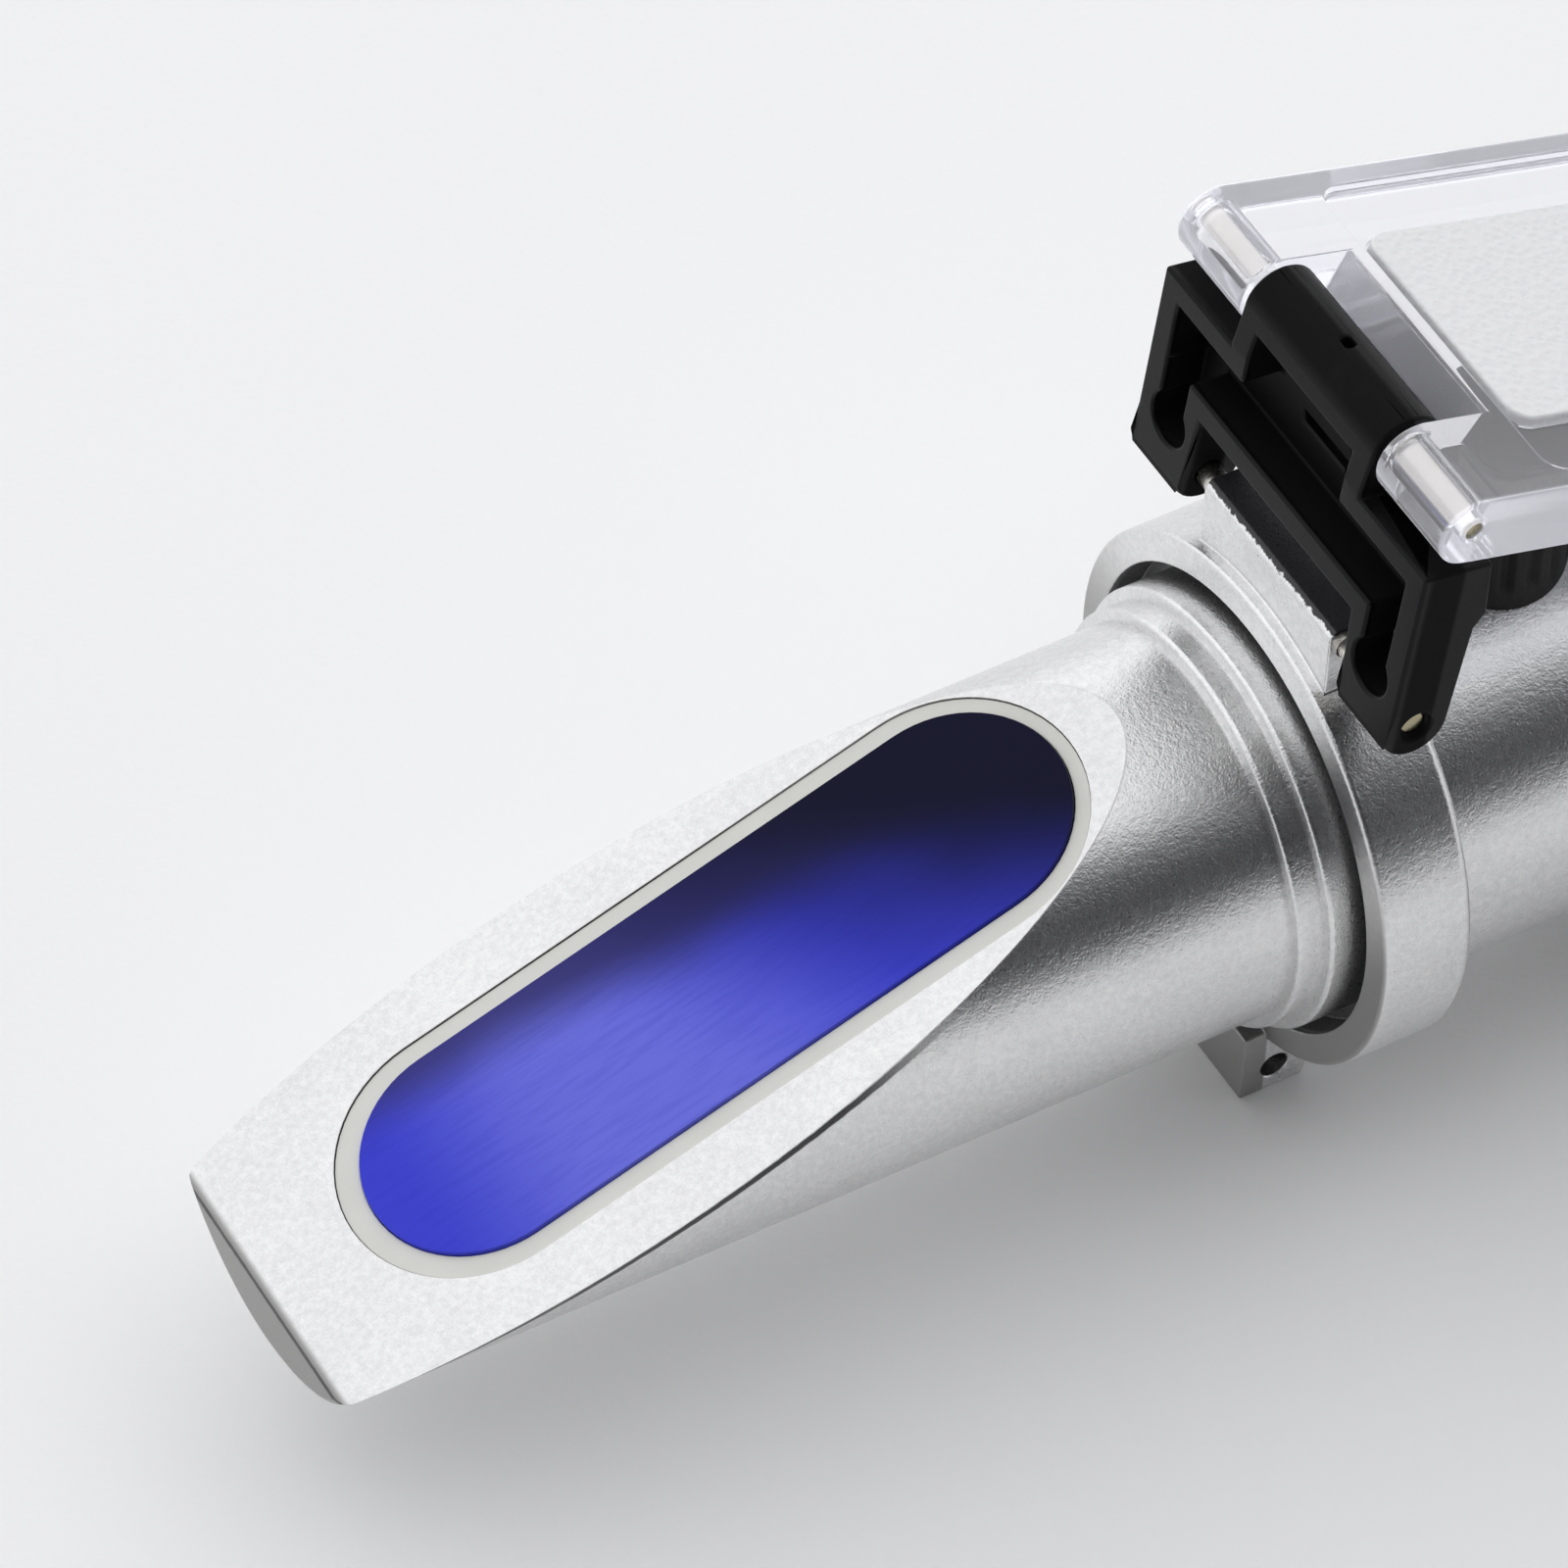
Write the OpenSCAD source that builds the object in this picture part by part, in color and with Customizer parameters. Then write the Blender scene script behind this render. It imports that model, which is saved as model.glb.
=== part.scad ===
// Hand-held optical refractometer with a flip-up clear cover plate.
// Lengths are in millimetres. Pieces are laid out on the barrel axis: x runs from the nose tip to
// the eye, z points out of the prism face side. The whole is then stood on its foot and eyecup.

/* [Barrel] */
// Length from the nose tip to the rim of the eyecup
total_len = 168; // [160:1:185]
// Outer radius of the main tube
tube_r = 12; // [11.8:0.1:12.6]
// Wall of the main tube
tube_wall = 1.4; // [1:0.1:1.6]
// Distance from the eyecup rim forward to the rear end of the main tube
tube_rear_gap = 34; // [33:0.5:36]

/* [Nose] */
// Radius of the nose
nose_r = 10.55; // [10.2:0.05:10.8]
// Length of the plain nose, from the tip to the first neck ring
nose_len = 51.9; // [50:0.1:56]
// Slope of the prism face against the barrel axis, in degrees
slope_angle = 20; // [18:0.5:21]
// Distance of the slope's front edge below the axis, at the tip
slope_drop = 6.6; // [6:0.1:7.2]
// Rounding of the tip's edge
tip_round = 0.5; // [0.2:0.1:1]
// Rise of each of the two neck rings
neck_rise = 0.62; // [0.4:0.02:0.7]
// Width of the first neck ring
neck_ring_w = 1.5; // [1:0.1:2]
// Length of the neck, from the first ring to its seat in the collar
neck_len = 5; // [4.5:0.1:6]
// Radius of the light bore in the nose
light_bore_r = 8; // [7:0.1:8.5]
// Radius of the spigot that joins nose, collar and tube
spigot_r = 10; // [9.6:0.05:10.1]
// Length of the spigot behind the neck's seat
spigot_len = 5.5; // [4:0.1:6.5]

/* [Prism] */
// Length of the prism's oval face
prism_len = 40.4; // [36:0.1:41]
// Width of the prism's oval face
prism_w = 12.1; // [11:0.1:12.6]
// Distance along the face from the tip to the prism
prism_start = 6.6; // [6.2:0.1:8]
// Depth of the prism under its face
prism_depth = 12; // [8:0.5:13]
// Lowest level of the prism under the barrel axis
prism_floor = 7; // [6:0.1:7.5]
// Height of the prism's face over the metal face
prism_proud = 0.15; // [0.05:0.05:0.2]
// Width of the gasket beside the prism
gasket_side = 1.1; // [0.8:0.05:1.3]
// Width of the gasket at the tip end
gasket_front = 1.35; // [1:0.05:1.6]
// Width of the gasket at the hinge end
gasket_rear = 0.8; // [0.5:0.05:1]
// Thickness of the gasket
gasket_thick = 1.6; // [1:0.1:2.5]
// Depth of the gasket's face below the metal face
gasket_sink = 0.1; // [0.05:0.05:0.3]

/* [Collar] */
// Radius of the front collar
collar_r = 14.5; // [14.2:0.1:14.8]
// Length of the front collar
collar_len = 5.25; // [5:0.05:5.6]
// Rounding of the collar's front rim; the rear rim has two thirds of it
collar_rim = 0.9; // [0.5:0.05:1]
// Depth of the counterbore round the neck
counterbore_depth = 1.95; // [1.6:0.05:2.2]
// Gap round the neck in the counterbore
counterbore_gap = 0.8; // [0.5:0.05:0.9]
// Depth of the tube's seat in the collar
tube_seat = 1.9; // [1.5:0.1:2.1]
// Width of the hinge lug
lug_w = 11.7; // [10.5:0.1:12]
// Width of the strap lug underneath
foot_w = 10.3; // [8:0.1:12]
// Reach of the strap lug in front of the collar
foot_reach = 1.25; // [1:0.05:1.5]
// Radius of the strap hole
strap_hole_r = 0.8; // [0.6:0.05:0.9]

/* [Hinge bracket] */
// Width over the bracket's arms
bracket_w = 23.8; // [22:0.1:25]
// Distance from the lug pin up to the plate pin
bracket_reach = 13.1; // [13:0.05:13.4]
// Distance from the lug pin line forward to the bracket's face
bracket_front = 1.6; // [1.5:0.05:1.65]
// Distance from the lug pin line back to the bracket's rear
bracket_back = 2; // [1.9:0.05:2.3]
// Lean of the open bracket, in degrees
bracket_lean = 6; // [5:0.5:6.5]
// Distance from the collar's front rim back to the lug pin
pivot_back = 2.05; // [1.9:0.05:2.2]
// Height of the lug pin over the collar
pivot_rise = 1.6; // [1.5:0.05:1.8]
// Width of each arm
arm_w = 4.55; // [4.3:0.05:4.7]
// Height of the window between the arms over the lug pin
window_top = 4.3; // [4:0.1:4.6]
// Height of the bridge's upper edge over the lug pin
bridge_top = 5.8; // [5.5:0.1:6.2]
// Height of the core's upper edge over the lug pin
core_top = 9.2; // [8.8:0.1:9.4]
// Height of the deep part of the core under the knuckle
throat_top = 11.3; // [10.8:0.1:11.4]
// Width of the channel down each arm
channel_w = 2.1; // [1.8:0.1:2.2]
// Radius of the bulb at the foot of each channel
bulb_r = 1.45; // [1.2:0.05:1.5]
// Height of the bulbs over the lug pin
bulb_rise = 2.4; // [2.2:0.1:2.6]
// Wall round the bracket's cored face
core_wall = 1.5; // [1:0.1:1.7]
// Depth of the core in the bracket's face
core_depth = 2.4; // [1.5:0.1:2.5]
// Radius of the lug pin
bracket_pin_r = 0.7; // [0.5:0.05:0.75]
// Radius of the bracket's centre knuckle and of the plate's knuckles
knuckle_r = 2; // [1.9:0.02:2.04]
// Width of the bracket's centre knuckle
knuckle_w = 11.7; // [10:0.1:12]

/* [Cover plate] */
// Length of the plate from its pin to its free end
plate_len = 44.3; // [42:0.1:45]
// Distance that the plate stands out beside the bracket, on each side
plate_overhang = 0.1; // [0.05:0.05:0.3]
// Tilt of the plate when swung back, in degrees
plate_tilt = 16.5; // [16:0.1:16.8]
// Radius of the plate pin
plate_pin_r = 0.72; // [0.5:0.02:0.8]
// Width of the raised rim along the plate's edges
plate_rim = 1.3; // [1:0.1:2]
// Depth of the plate's face below its rim
plate_sink = 0.5; // [0.3:0.05:0.7]
// Distance from the plate pin to the pad
pad_start = 5.2; // [4.8:0.1:6]
// Length of the pad
pad_len = 37.6; // [34:0.1:37.8]
// Width of the pad
pad_w = 14.2; // [13:0.1:16]
// Thickness of the pad
pad_thick = 1.1; // [0.8:0.1:1.3]

/* [Calibration] */
// Distance from the collar's rear face to the screw
screw_back = 8.8; // [8.6:0.1:9.2]
// Radius of the screw's thread
screw_r = 1.4; // [1:0.05:1.5]
// Radius of the screw's head
screw_head_r = 2.3; // [1.9:0.1:2.4]
// Height of the screw's head
screw_head_h = 1.4; // [1:0.1:1.5]
// Largest travel of the lens carriage either way
screw_travel = 0.45; // [0.3:0.05:0.5]
// Radius of the bush's flange
bush_r = 3.4; // [3.2:0.1:3.5]
// Thickness of the bush's flange
bush_flange = 2.45; // [2.3:0.05:2.6]
// Wall of the rubber cap
cap_wall = 0.8; // [0.7:0.05:1]
// Height of the rubber cap's top over the tube
cap_rise = 6.8; // [6:0.1:7]
// Number of flutes round the rubber cap
cap_flutes = 18; // [12:1:24]
// Distance the cap can be pulled while the cover plate lies back
cap_pull = 3.4; // [2:0.1:3.6]
// Length of the lens carriage
carriage_len = 9; // [8:0.1:9.5]
// Width of the carriage's light opening
carriage_bore = 13.4; // [12:0.1:14]
// Radius of the objective lens
objective_r = 6.5; // [5.5:0.1:6.8]
// Thickness of the objective lens
objective_thick = 3.2; // [2.5:0.1:4]
// Thickness of the temperature strip
strip_thick = 0.25; // [0.2:0.05:0.4]
// Width of the temperature strip
strip_w = 6; // [5:0.1:6.5]

/* [Grip and eyepiece] */
// Radius of the rubber grip
grip_r = 13.9; // [13.6:0.05:13.95]
// Distance from the rubber cap back to the grip
grip_gap = 6.8; // [4:0.1:10]
// Number of flutes round the grip
grip_flutes = 36; // [24:1:40]
// Length of the trim ring behind the grip
trim_len = 4; // [3.4:0.1:5]
// Radius of the trim ring
trim_r = 13.4; // [13:0.1:13.8]
// Length of the socket inside the tube
socket_len = 16.3; // [15.8:0.1:17]
// Length of the socket's flange
flange_len = 3; // [2:0.1:4]
// Radius of the sliding barrel of the eyepiece
barrel_r = 9.22; // [9.1:0.02:9.4]
// Focusing travel of the eyepiece either way
focus_travel = 1.5; // [1:0.1:1.6]
// Gap between the socket's flange and the focusing ring
focus_gap = 2; // [1.9:0.1:2.5]
// Radius of the knurled focusing ring
focus_ring_r = 14.2; // [13.8:0.1:14.8]
// Length of the knurled focusing ring
focus_ring_len = 10; // [8:0.1:10.5]
// Number of flutes round the focusing ring
focus_flutes = 48; // [36:1:60]
// Radius of the seat under the eyecup
cup_seat_r = 12.2; // [11.8:0.1:12.6]
// Radius of the field lens
field_lens_r = 7.25; // [6.8:0.05:7.3]
// Radius of the eye lens
eye_lens_r = 8.25; // [8:0.05:8.3]
// Outer radius of the eyecup's rim, which is also the height of the axis over the table
eyecup_r = 17.6; // [17.4:0.1:18.5]
// Wall of the eyecup at its rim
eyecup_wall = 1.4; // [1:0.1:2]
// Radius of the reticle disc
reticle_r = 9.5; // [9.4:0.05:9.7]
// Thickness of the reticle disc
reticle_thick = 1.5; // [1:0.1:2]

/* [Hidden] */
$fn = 96;

// Fits: pressed, screwed or cemented seats, turning or sliding pairs, and open gaps
seat_gap = 0.03;
run_gap = 0.06;
part_gap = 0.3;
// Small chamfer of turned edges, width of small lands and steps, and the overrun of every cut
chamfer = 0.35;
land_w = 1;
over = 1;

// Places along the barrel
neck_end = nose_len + neck_len;
nose_root_r = nose_r * (1 + 1 / 90);
neck_r = nose_root_r + 2 * neck_rise;
collar_x = neck_end - counterbore_depth;
collar_end = collar_x + collar_len;
spigot_end = neck_end + spigot_len;
tube_x = collar_end - tube_seat;
tube_end = total_len - tube_rear_gap;
tube_bore = tube_r - tube_wall;
trim_x = tube_end - trim_len;
socket_x = tube_end - socket_len;

// Prism place along the slope, and where the light bore starts under it
prism_mid = prism_start + prism_len / 2;
gasket_len = prism_len + gasket_front + gasket_rear;
gasket_mid = prism_mid + (gasket_rear - gasket_front) / 2;
gasket_w = prism_w + 2 * gasket_side;
prism_exit = (prism_start + prism_len) * cos(slope_angle) + chamfer;
light_start = (light_bore_r + slope_drop + land_w) / tan(slope_angle);

// Lug pin, and the plate pin in the leaning bracket's own frame
knuckle_set_share = 0.465;
pivot_x = collar_x + pivot_back;
pivot_z = collar_r + pivot_rise;
pin_set = bracket_front - knuckle_r * knuckle_set_share;
pin_x = pivot_x + bracket_reach * sin(bracket_lean) + pin_set * cos(bracket_lean);
pin_z = pivot_z + bracket_reach * cos(bracket_lean) - pin_set * sin(bracket_lean);

// Bracket: the shoulders stop under the plate's knuckles and are thicker than the arms
lug_top = pivot_z + 2 * bracket_pin_r;
shoulder_top = bracket_reach - knuckle_r - 1.5 * part_gap;
shoulder_back = bracket_back + bracket_pin_r;
window_w = bracket_w - 2 * arm_w;
throat_w = knuckle_w - 2 * core_wall;
slot_level = (bridge_top + core_top + plate_pin_r) / 2;

// Cover plate
plate_w = bracket_w + 2 * plate_overhang;
plate_half = knuckle_r;
knuckle_in = knuckle_w / 2 + part_gap;
notch_depth = knuckle_r + core_wall - seat_gap;
pad_floor = plate_half - pad_thick - seat_gap;

// Calibration screw, its cap and the carriage
screw_x = collar_end + screw_back;
spot_z = tube_r - tube_wall / 2;
bush_z = spot_z + bush_flange;
bush_neck_r = bush_r - screw_r / 2;
head_z = bush_z - screw_head_h - chamfer;
cap_r = bush_r + cap_wall;
cap_z = tube_r + cap_rise;
grip_x = screw_x + cap_r + grip_gap;
grip_len = trim_x - grip_x;
carriage_r = tube_bore - screw_travel - run_gap;
carriage_x = screw_x - carriage_len / 2;
carriage_end = carriage_x + carriage_len;
carriage_flat = spot_z - tube_wall - screw_travel - 2 * chamfer;
strip_z = -carriage_flat + chamfer;
strip_x = carriage_x + land_w;
// The objective stands this share of the way from the carriage to the reticle's holder
objective_share = 0.18;
holder_x = socket_x - part_gap - 3 * reticle_thick;
strip_end = carriage_end + (holder_x - carriage_end) * objective_share + strip_w;
strip_len = strip_end - strip_x;
objective_x = strip_end - strip_w / 2;
objective_ring_r = -strip_z - part_gap;
small_screw_r = 0.75;
// How far a lens's seat lies behind the crown of its dome, as a share of its thickness
lens_seat_share = 0.18;

// Light tube and eyepiece
flange_end = tube_end + flange_len;
baffle_thick = 2;
baffle_x = (strip_end + holder_x - baffle_thick) / 2;
ring_wall = tube_bore - seat_gap;
holder_bore = reticle_r - 1.5 * land_w;
focus_x = flange_end + focus_gap;
focus_end = focus_x + focus_ring_len;
cup_x = focus_end + part_gap;
cup_reach = 8;
body_end = total_len - cup_reach;
eyepiece_set = 6.3;
eyepiece_x = socket_x + eyepiece_set;
groove_x = eyepiece_x + 2 * land_w;
groove_w = 3;
groove_r = barrel_r - land_w;
key_r = tube_bore - part_gap;
key_w = 2;
stop_x = groove_x + groove_w + land_w;
stop_end = stop_x + 1.5 * land_w;
field_thick = 3;
eye_thick = 4.5;
eye_relief = 4;
eye_x = body_end - eye_thick - eye_relief;

// A solid turned about the barrel axis, from points of radius and distance from the tip
module turned(points) {
    rotate([0, 90, 0]) rotate_extrude() polygon(points);
}

// A round bar along the barrel
module bar(r, from, to) {
    translate([from, 0, 0]) rotate([0, 90, 0]) cylinder(r = r, h = to - from);
}

// A round bar along the barrel with a rounded edge at its front and rear
module rounded_bar(r, from, to, round) {
    len = to - from;
    translate([from, 0, 0]) rotate([0, 90, 0]) rotate_extrude() {
        square([r - round, len]);
        translate([0, round]) square([r, len - 2 * round]);
        for (at = [round, len - round]) translate([r - round, at]) circle(r = round);
    }
}

// A ring along the barrel with small chamfers at its outer edges
module ring(outer, inner, from, to, edge) {
    turned([[inner, from], [outer - edge, from], [outer, from + edge],
        [outer, to - edge], [outer - edge, to], [inner, to]]);
}

// A round bar across the barrel, centred on it
module cross_bar(r, width) {
    rotate([90, 0, 0]) cylinder(r = r, h = width, center = true);
}

// A profile in x and z, drawn out across the barrel
module across(width) {
    rotate([90, 0, 0]) linear_extrude(height = width, center = true) children();
}

// A block centred across the barrel, from its low corner in x and z
module block(x, z, len, width, height) {
    translate([x, -width / 2, z]) cube([len, width, height]);
}

// Everything stands on the foot and the eyecup, centred on the barrel's length
module placed() {
    translate([-total_len / 2, 0, eyecup_r]) children();
}

module on_slope() {
    translate([0, 0, -slope_drop]) rotate([0, -slope_angle, 0]) children();
}

module on_bracket() {
    translate([pivot_x, 0, pivot_z]) rotate([0, bracket_lean, 0]) children();
}

module on_plate() {
    translate([pin_x, 0, pin_z]) rotate([0, plate_tilt, 0]) children();
}

// Flutes round the barrel, as cutting bars
module flutes(count, at_r, r, from, to) {
    for (i = [0 : count - 1]) rotate([360 / count * i, 0, 0])
        translate([0, 0, at_r]) bar(r, from, to);
}

// An oval with straight sides and round ends
module oval(len, width) {
    end_r = width / 2;
    square([len - width, width], center = true);
    for (side = [-1, 1]) translate([side * (len / 2 - end_r), 0]) circle(r = end_r);
}

// A rectangle from the origin along x, with rounded corners
module rounded_plate(len, width, r) {
    translate([r, -width / 2]) square([len - 2 * r, width]);
    translate([0, -width / 2 + r]) square([len, width - 2 * r]);
    for (x = [r, len - r], y = [-1, 1]) translate([x, y * (width / 2 - r)]) circle(r = r);
}

// A lens about the barrel axis, domed on both sides by a quarter of its thickness
module lens(r, thick, x) {
    dome = thick / 4;
    ball = (r * r + dome * dome) / (2 * dome);
    translate([x, 0, 0]) intersection() {
        bar(r, 0, thick);
        translate([ball, 0, 0]) sphere(r = ball, $fn = 2 * $fn);
        translate([thick - ball, 0, 0]) sphere(r = ball, $fn = 2 * $fn);
    }
}

// The cored column under the measuring face, cut off level above the nose's floor
module prism_column(gap) {
    intersection() {
        on_slope() translate([prism_mid, 0, -prism_depth - gap])
            linear_extrude(height = prism_depth + gap + prism_proud + over)
                oval(prism_len + 2 * gap, prism_w + 2 * gap);
        block(-over, -prism_floor - gap, neck_end, collar_r, 3 * collar_r);
    }
}

// Nose with its sloping face, oval pocket, two neck rings and the spigot behind
module prism_holder() {
    color([0.72, 0.72, 0.71]) placed() difference() {
        turned([[0, 0], [nose_r - tip_round, 0], [nose_r, tip_round],
            [nose_root_r, nose_len], [nose_root_r + neck_rise, nose_len + chamfer],
            [nose_root_r + neck_rise, nose_len + neck_ring_w],
            [neck_r, nose_len + neck_ring_w + chamfer], [neck_r, neck_end],
            [spigot_r, neck_end], [spigot_r, spigot_end], [0, spigot_end]]);
        on_slope() block(-over, 0, neck_end, 3 * nose_r, 3 * nose_r);
        on_slope() translate([gasket_mid, 0, -gasket_sink - gasket_thick - seat_gap])
            linear_extrude(height = gasket_thick + over)
                oval(gasket_len + 2 * seat_gap, gasket_w + 2 * seat_gap);
        prism_column(seat_gap);
        bar(light_bore_r, light_start, spigot_end + over);
    }
}

// Glass prism, proud of the metal face, with a flat exit face towards the eye
module measuring_prism() {
    color([0.2, 0.2, 0.55]) placed() difference() {
        prism_column(0);
        on_slope() block(-over, prism_proud, neck_end, collar_r, collar_r);
        block(prism_exit, -collar_r, collar_r, collar_r, 2 * collar_r);
    }
}

// Pale gasket round the prism
module prism_gasket() {
    color([0.88, 0.88, 0.84]) placed() on_slope()
        translate([0, 0, -gasket_sink - gasket_thick])
            linear_extrude(height = gasket_thick) difference() {
                translate([gasket_mid, 0]) oval(gasket_len, gasket_w);
                translate([prism_mid, 0]) oval(prism_len + 2 * seat_gap, prism_w + 2 * seat_gap);
            }
}

// Collar between nose and tube, with the hinge lug on top and the strap lug below
module front_collar() {
    foot_x = collar_x - foot_reach;
    foot_back = collar_x + 2 * foot_reach;
    foot_top = -(neck_r + counterbore_gap + part_gap);
    lug_x = pivot_x - bracket_front + chamfer;
    lug_back = collar_end - 2 * collar_rim;
    strap_x = foot_x + 2.5 * strap_hole_r;
    color([0.72, 0.72, 0.71]) placed() difference() {
        union() {
            rounded_bar(collar_r, collar_x, collar_x + collar_len / 2, collar_rim);
            rounded_bar(collar_r, collar_x + collar_rim, collar_end, collar_rim * 2 / 3);
            across(lug_w) polygon([[lug_x, neck_r], [lug_x, lug_top - chamfer],
                [lug_x + chamfer, lug_top], [pivot_x + bracket_front / 2, lug_top],
                [lug_back, collar_r - chamfer], [lug_back, neck_r]]);
            across(foot_w) polygon([[foot_x, -eyecup_r], [foot_x, foot_top],
                [lug_back, foot_top], [lug_back, -collar_r], [foot_back, -eyecup_r]]);
        }
        bar(spigot_r + seat_gap, collar_x - over, collar_end + over);
        bar(neck_r + counterbore_gap, collar_x - foot_reach - over, neck_end);
        bar(tube_r + seat_gap, tube_x - seat_gap, collar_end + over);
        translate([pivot_x, 0, pivot_z]) cross_bar(bracket_pin_r + seat_gap, bracket_w);
        translate([strap_x, 0, -eyecup_r + 2 * strap_hole_r]) cross_bar(strap_hole_r, bracket_w);
    }
}

// Tube with a spot face for the screw bush
module main_tube() {
    color([0.72, 0.72, 0.71]) placed() difference() {
        ring(tube_r, tube_bore, tube_x, tube_end, chamfer / 2);
        translate([screw_x, 0, spot_z]) cylinder(r = bush_r + seat_gap, h = tube_r);
        translate([screw_x, 0, 0]) cylinder(r = bush_neck_r + seat_gap, h = tube_r);
        for (side = [0, 120, 240]) rotate([side, 0, 0])
            translate([trim_x + trim_len / 2, 0, 0])
                cylinder(r = small_screw_r + seat_gap, h = 2 * tube_r);
    }
}

// Hinge bracket: two arms and shoulders round a cored face, and the centre knuckle
module hinge_bracket() {
    face = -bracket_front;
    bulb_y = bracket_w / 2 - core_wall - channel_w / 2;
    foot_r = bracket_back - chamfer / 2;
    wide = 2 * bracket_w;
    color([0.08, 0.08, 0.085]) placed() on_bracket() difference() {
        union() {
            // Side profile of arms and shoulders, flat in front
            across(bracket_w) difference() {
                union() {
                    polygon([[face, 0], [face, shoulder_top],
                        [shoulder_back - chamfer, shoulder_top - part_gap],
                        [shoulder_back, bridge_top + channel_w / 2],
                        [bracket_back + part_gap / 2, bridge_top + part_gap / 2], [foot_r, 0]]);
                    circle(r = foot_r);
                }
                translate([face - wide, -wide / 2]) square([wide, wide]);
            }
            // Column up to the centre knuckle
            across(knuckle_w) {
                polygon([[face, window_top], [face, shoulder_top + part_gap],
                    [pin_set - knuckle_r, bracket_reach], [pin_set + knuckle_r, bracket_reach],
                    [pin_set + knuckle_r - chamfer, shoulder_top], [bracket_back, window_top]]);
                translate([pin_set, bracket_reach]) circle(r = knuckle_r);
            }
        }
        // Window between the arms, wider towards the lug
        rotate([0, 90, 0]) linear_extrude(height = wide, center = true)
            polygon([[-window_top, -window_w / 2 + chamfer], [window_top, -window_w / 2 - chamfer],
                [window_top, window_w / 2 + chamfer], [-window_top, window_w / 2 - chamfer]]);
        // Core behind the face: wide above the bridge, with a channel and a bulb down each arm
        block(face - over, bridge_top, core_depth + over, bracket_w - 2 * core_wall,
            core_top - bridge_top);
        block(face - over, core_top - over, core_depth + over, throat_w,
            throat_top - core_top + over);
        block(face - over, throat_top - over, core_depth / 2 + over, throat_w,
            bracket_reach - throat_top + over - plate_pin_r);
        for (side = [-1, 1]) translate([face - over, side * bulb_y, bulb_rise]) {
            block(0, 0, core_depth + over, channel_w, core_top - bulb_rise - over);
            rotate([0, 90, 0]) cylinder(r = bulb_r, h = core_depth + over);
        }
        // Slot through the back wall, set hole in the knuckle, pin bores and their countersinks
        block(0, slot_level, wide, throat_w / 2, plate_pin_r);
        translate([pin_set, 0, bracket_reach]) cylinder(r = plate_pin_r / 2, h = 2 * knuckle_r);
        cross_bar(bracket_pin_r + run_gap, wide);
        for (side = [-1, 1]) translate([0, side * bracket_w / 2, 0])
            cross_bar(bracket_pin_r + chamfer / 2, core_wall / 2);
        translate([pin_set, 0, bracket_reach]) cross_bar(plate_pin_r + seat_gap, wide);
    }
}

module bracket_pin() {
    color([0.75, 0.75, 0.74]) placed() translate([pivot_x, 0, pivot_z])
        cross_bar(bracket_pin_r, bracket_w - core_wall / 2);
}

module plate_pin() {
    color([0.78, 0.78, 0.77]) placed() translate([pin_x, 0, pin_z])
        cross_bar(plate_pin_r, plate_w - core_wall / 2);
}

// Clear cover plate with two knuckles, a notch between them and a raised rim
module daylight_plate() {
    knuckle_len = plate_w / 2 - knuckle_in;
    inside_x = notch_depth + plate_rim;
    color([0.8, 0.82, 0.88, 0.5]) placed() on_plate() difference() {
        union() {
            translate([0, 0, -plate_half]) linear_extrude(height = 2 * plate_half) {
                translate([0, -plate_w / 2]) square([plate_len / 2, plate_w]);
                rounded_plate(plate_len, plate_w, plate_rim);
            }
            cross_bar(knuckle_r, plate_w);
        }
        // Notch for the centre knuckle, with a bevelled back wall
        across(2 * knuckle_in) polygon([[-3 * knuckle_r, -2 * plate_half],
            [notch_depth - 2 * chamfer, -2 * plate_half], [notch_depth + 2 * chamfer, 2 * plate_half],
            [-3 * knuckle_r, 2 * plate_half]]);
        // Sunken face inside the rim, and the deeper seat of the pad
        translate([inside_x, 0, plate_half - plate_sink]) linear_extrude(height = over)
            rounded_plate(plate_len - inside_x - plate_rim, plate_w - 2 * plate_rim, plate_rim);
        translate([pad_start - seat_gap, 0, pad_floor]) linear_extrude(height = pad_thick + over)
            rounded_plate(pad_len + 2 * seat_gap, pad_w + 2 * seat_gap, plate_rim);
        cross_bar(plate_pin_r + run_gap, 2 * plate_w);
    }
}

module diffuser_pad() {
    color([0.93, 0.93, 0.93]) placed() on_plate() translate([pad_start, 0, pad_floor])
        linear_extrude(height = pad_thick) rounded_plate(pad_len, pad_w, plate_rim);
}

// Bush on the tube with a rolled lip over the screw's head
module screw_bush() {
    color([0.7, 0.58, 0.3]) placed() translate([screw_x, 0, 0]) difference() {
        union() {
            translate([0, 0, spot_z]) cylinder(r = bush_r, h = bush_flange);
            translate([0, 0, spot_z - tube_wall - chamfer])
                cylinder(r = bush_neck_r, h = tube_wall + 2 * chamfer);
        }
        cylinder(r = screw_r + run_gap, h = 2 * tube_r);
        translate([0, 0, head_z - run_gap])
            cylinder(r = screw_head_r + run_gap, h = screw_head_h + 2 * run_gap);
        translate([0, 0, head_z]) cylinder(r = screw_head_r - chamfer, h = tube_r);
    }
}

module calibration_screw() {
    color([0.72, 0.6, 0.32]) placed() translate([screw_x, 0, 0]) difference() {
        union() {
            translate([0, 0, head_z]) cylinder(r = screw_head_r, h = screw_head_h);
            translate([0, 0, carriage_bore / 2]) cylinder(r = screw_r, h = head_z - carriage_bore / 2);
        }
        block(-2 * screw_head_r, head_z + screw_head_h / 2, 4 * screw_head_r,
            screw_head_h / 2, screw_head_h);
    }
}

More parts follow.
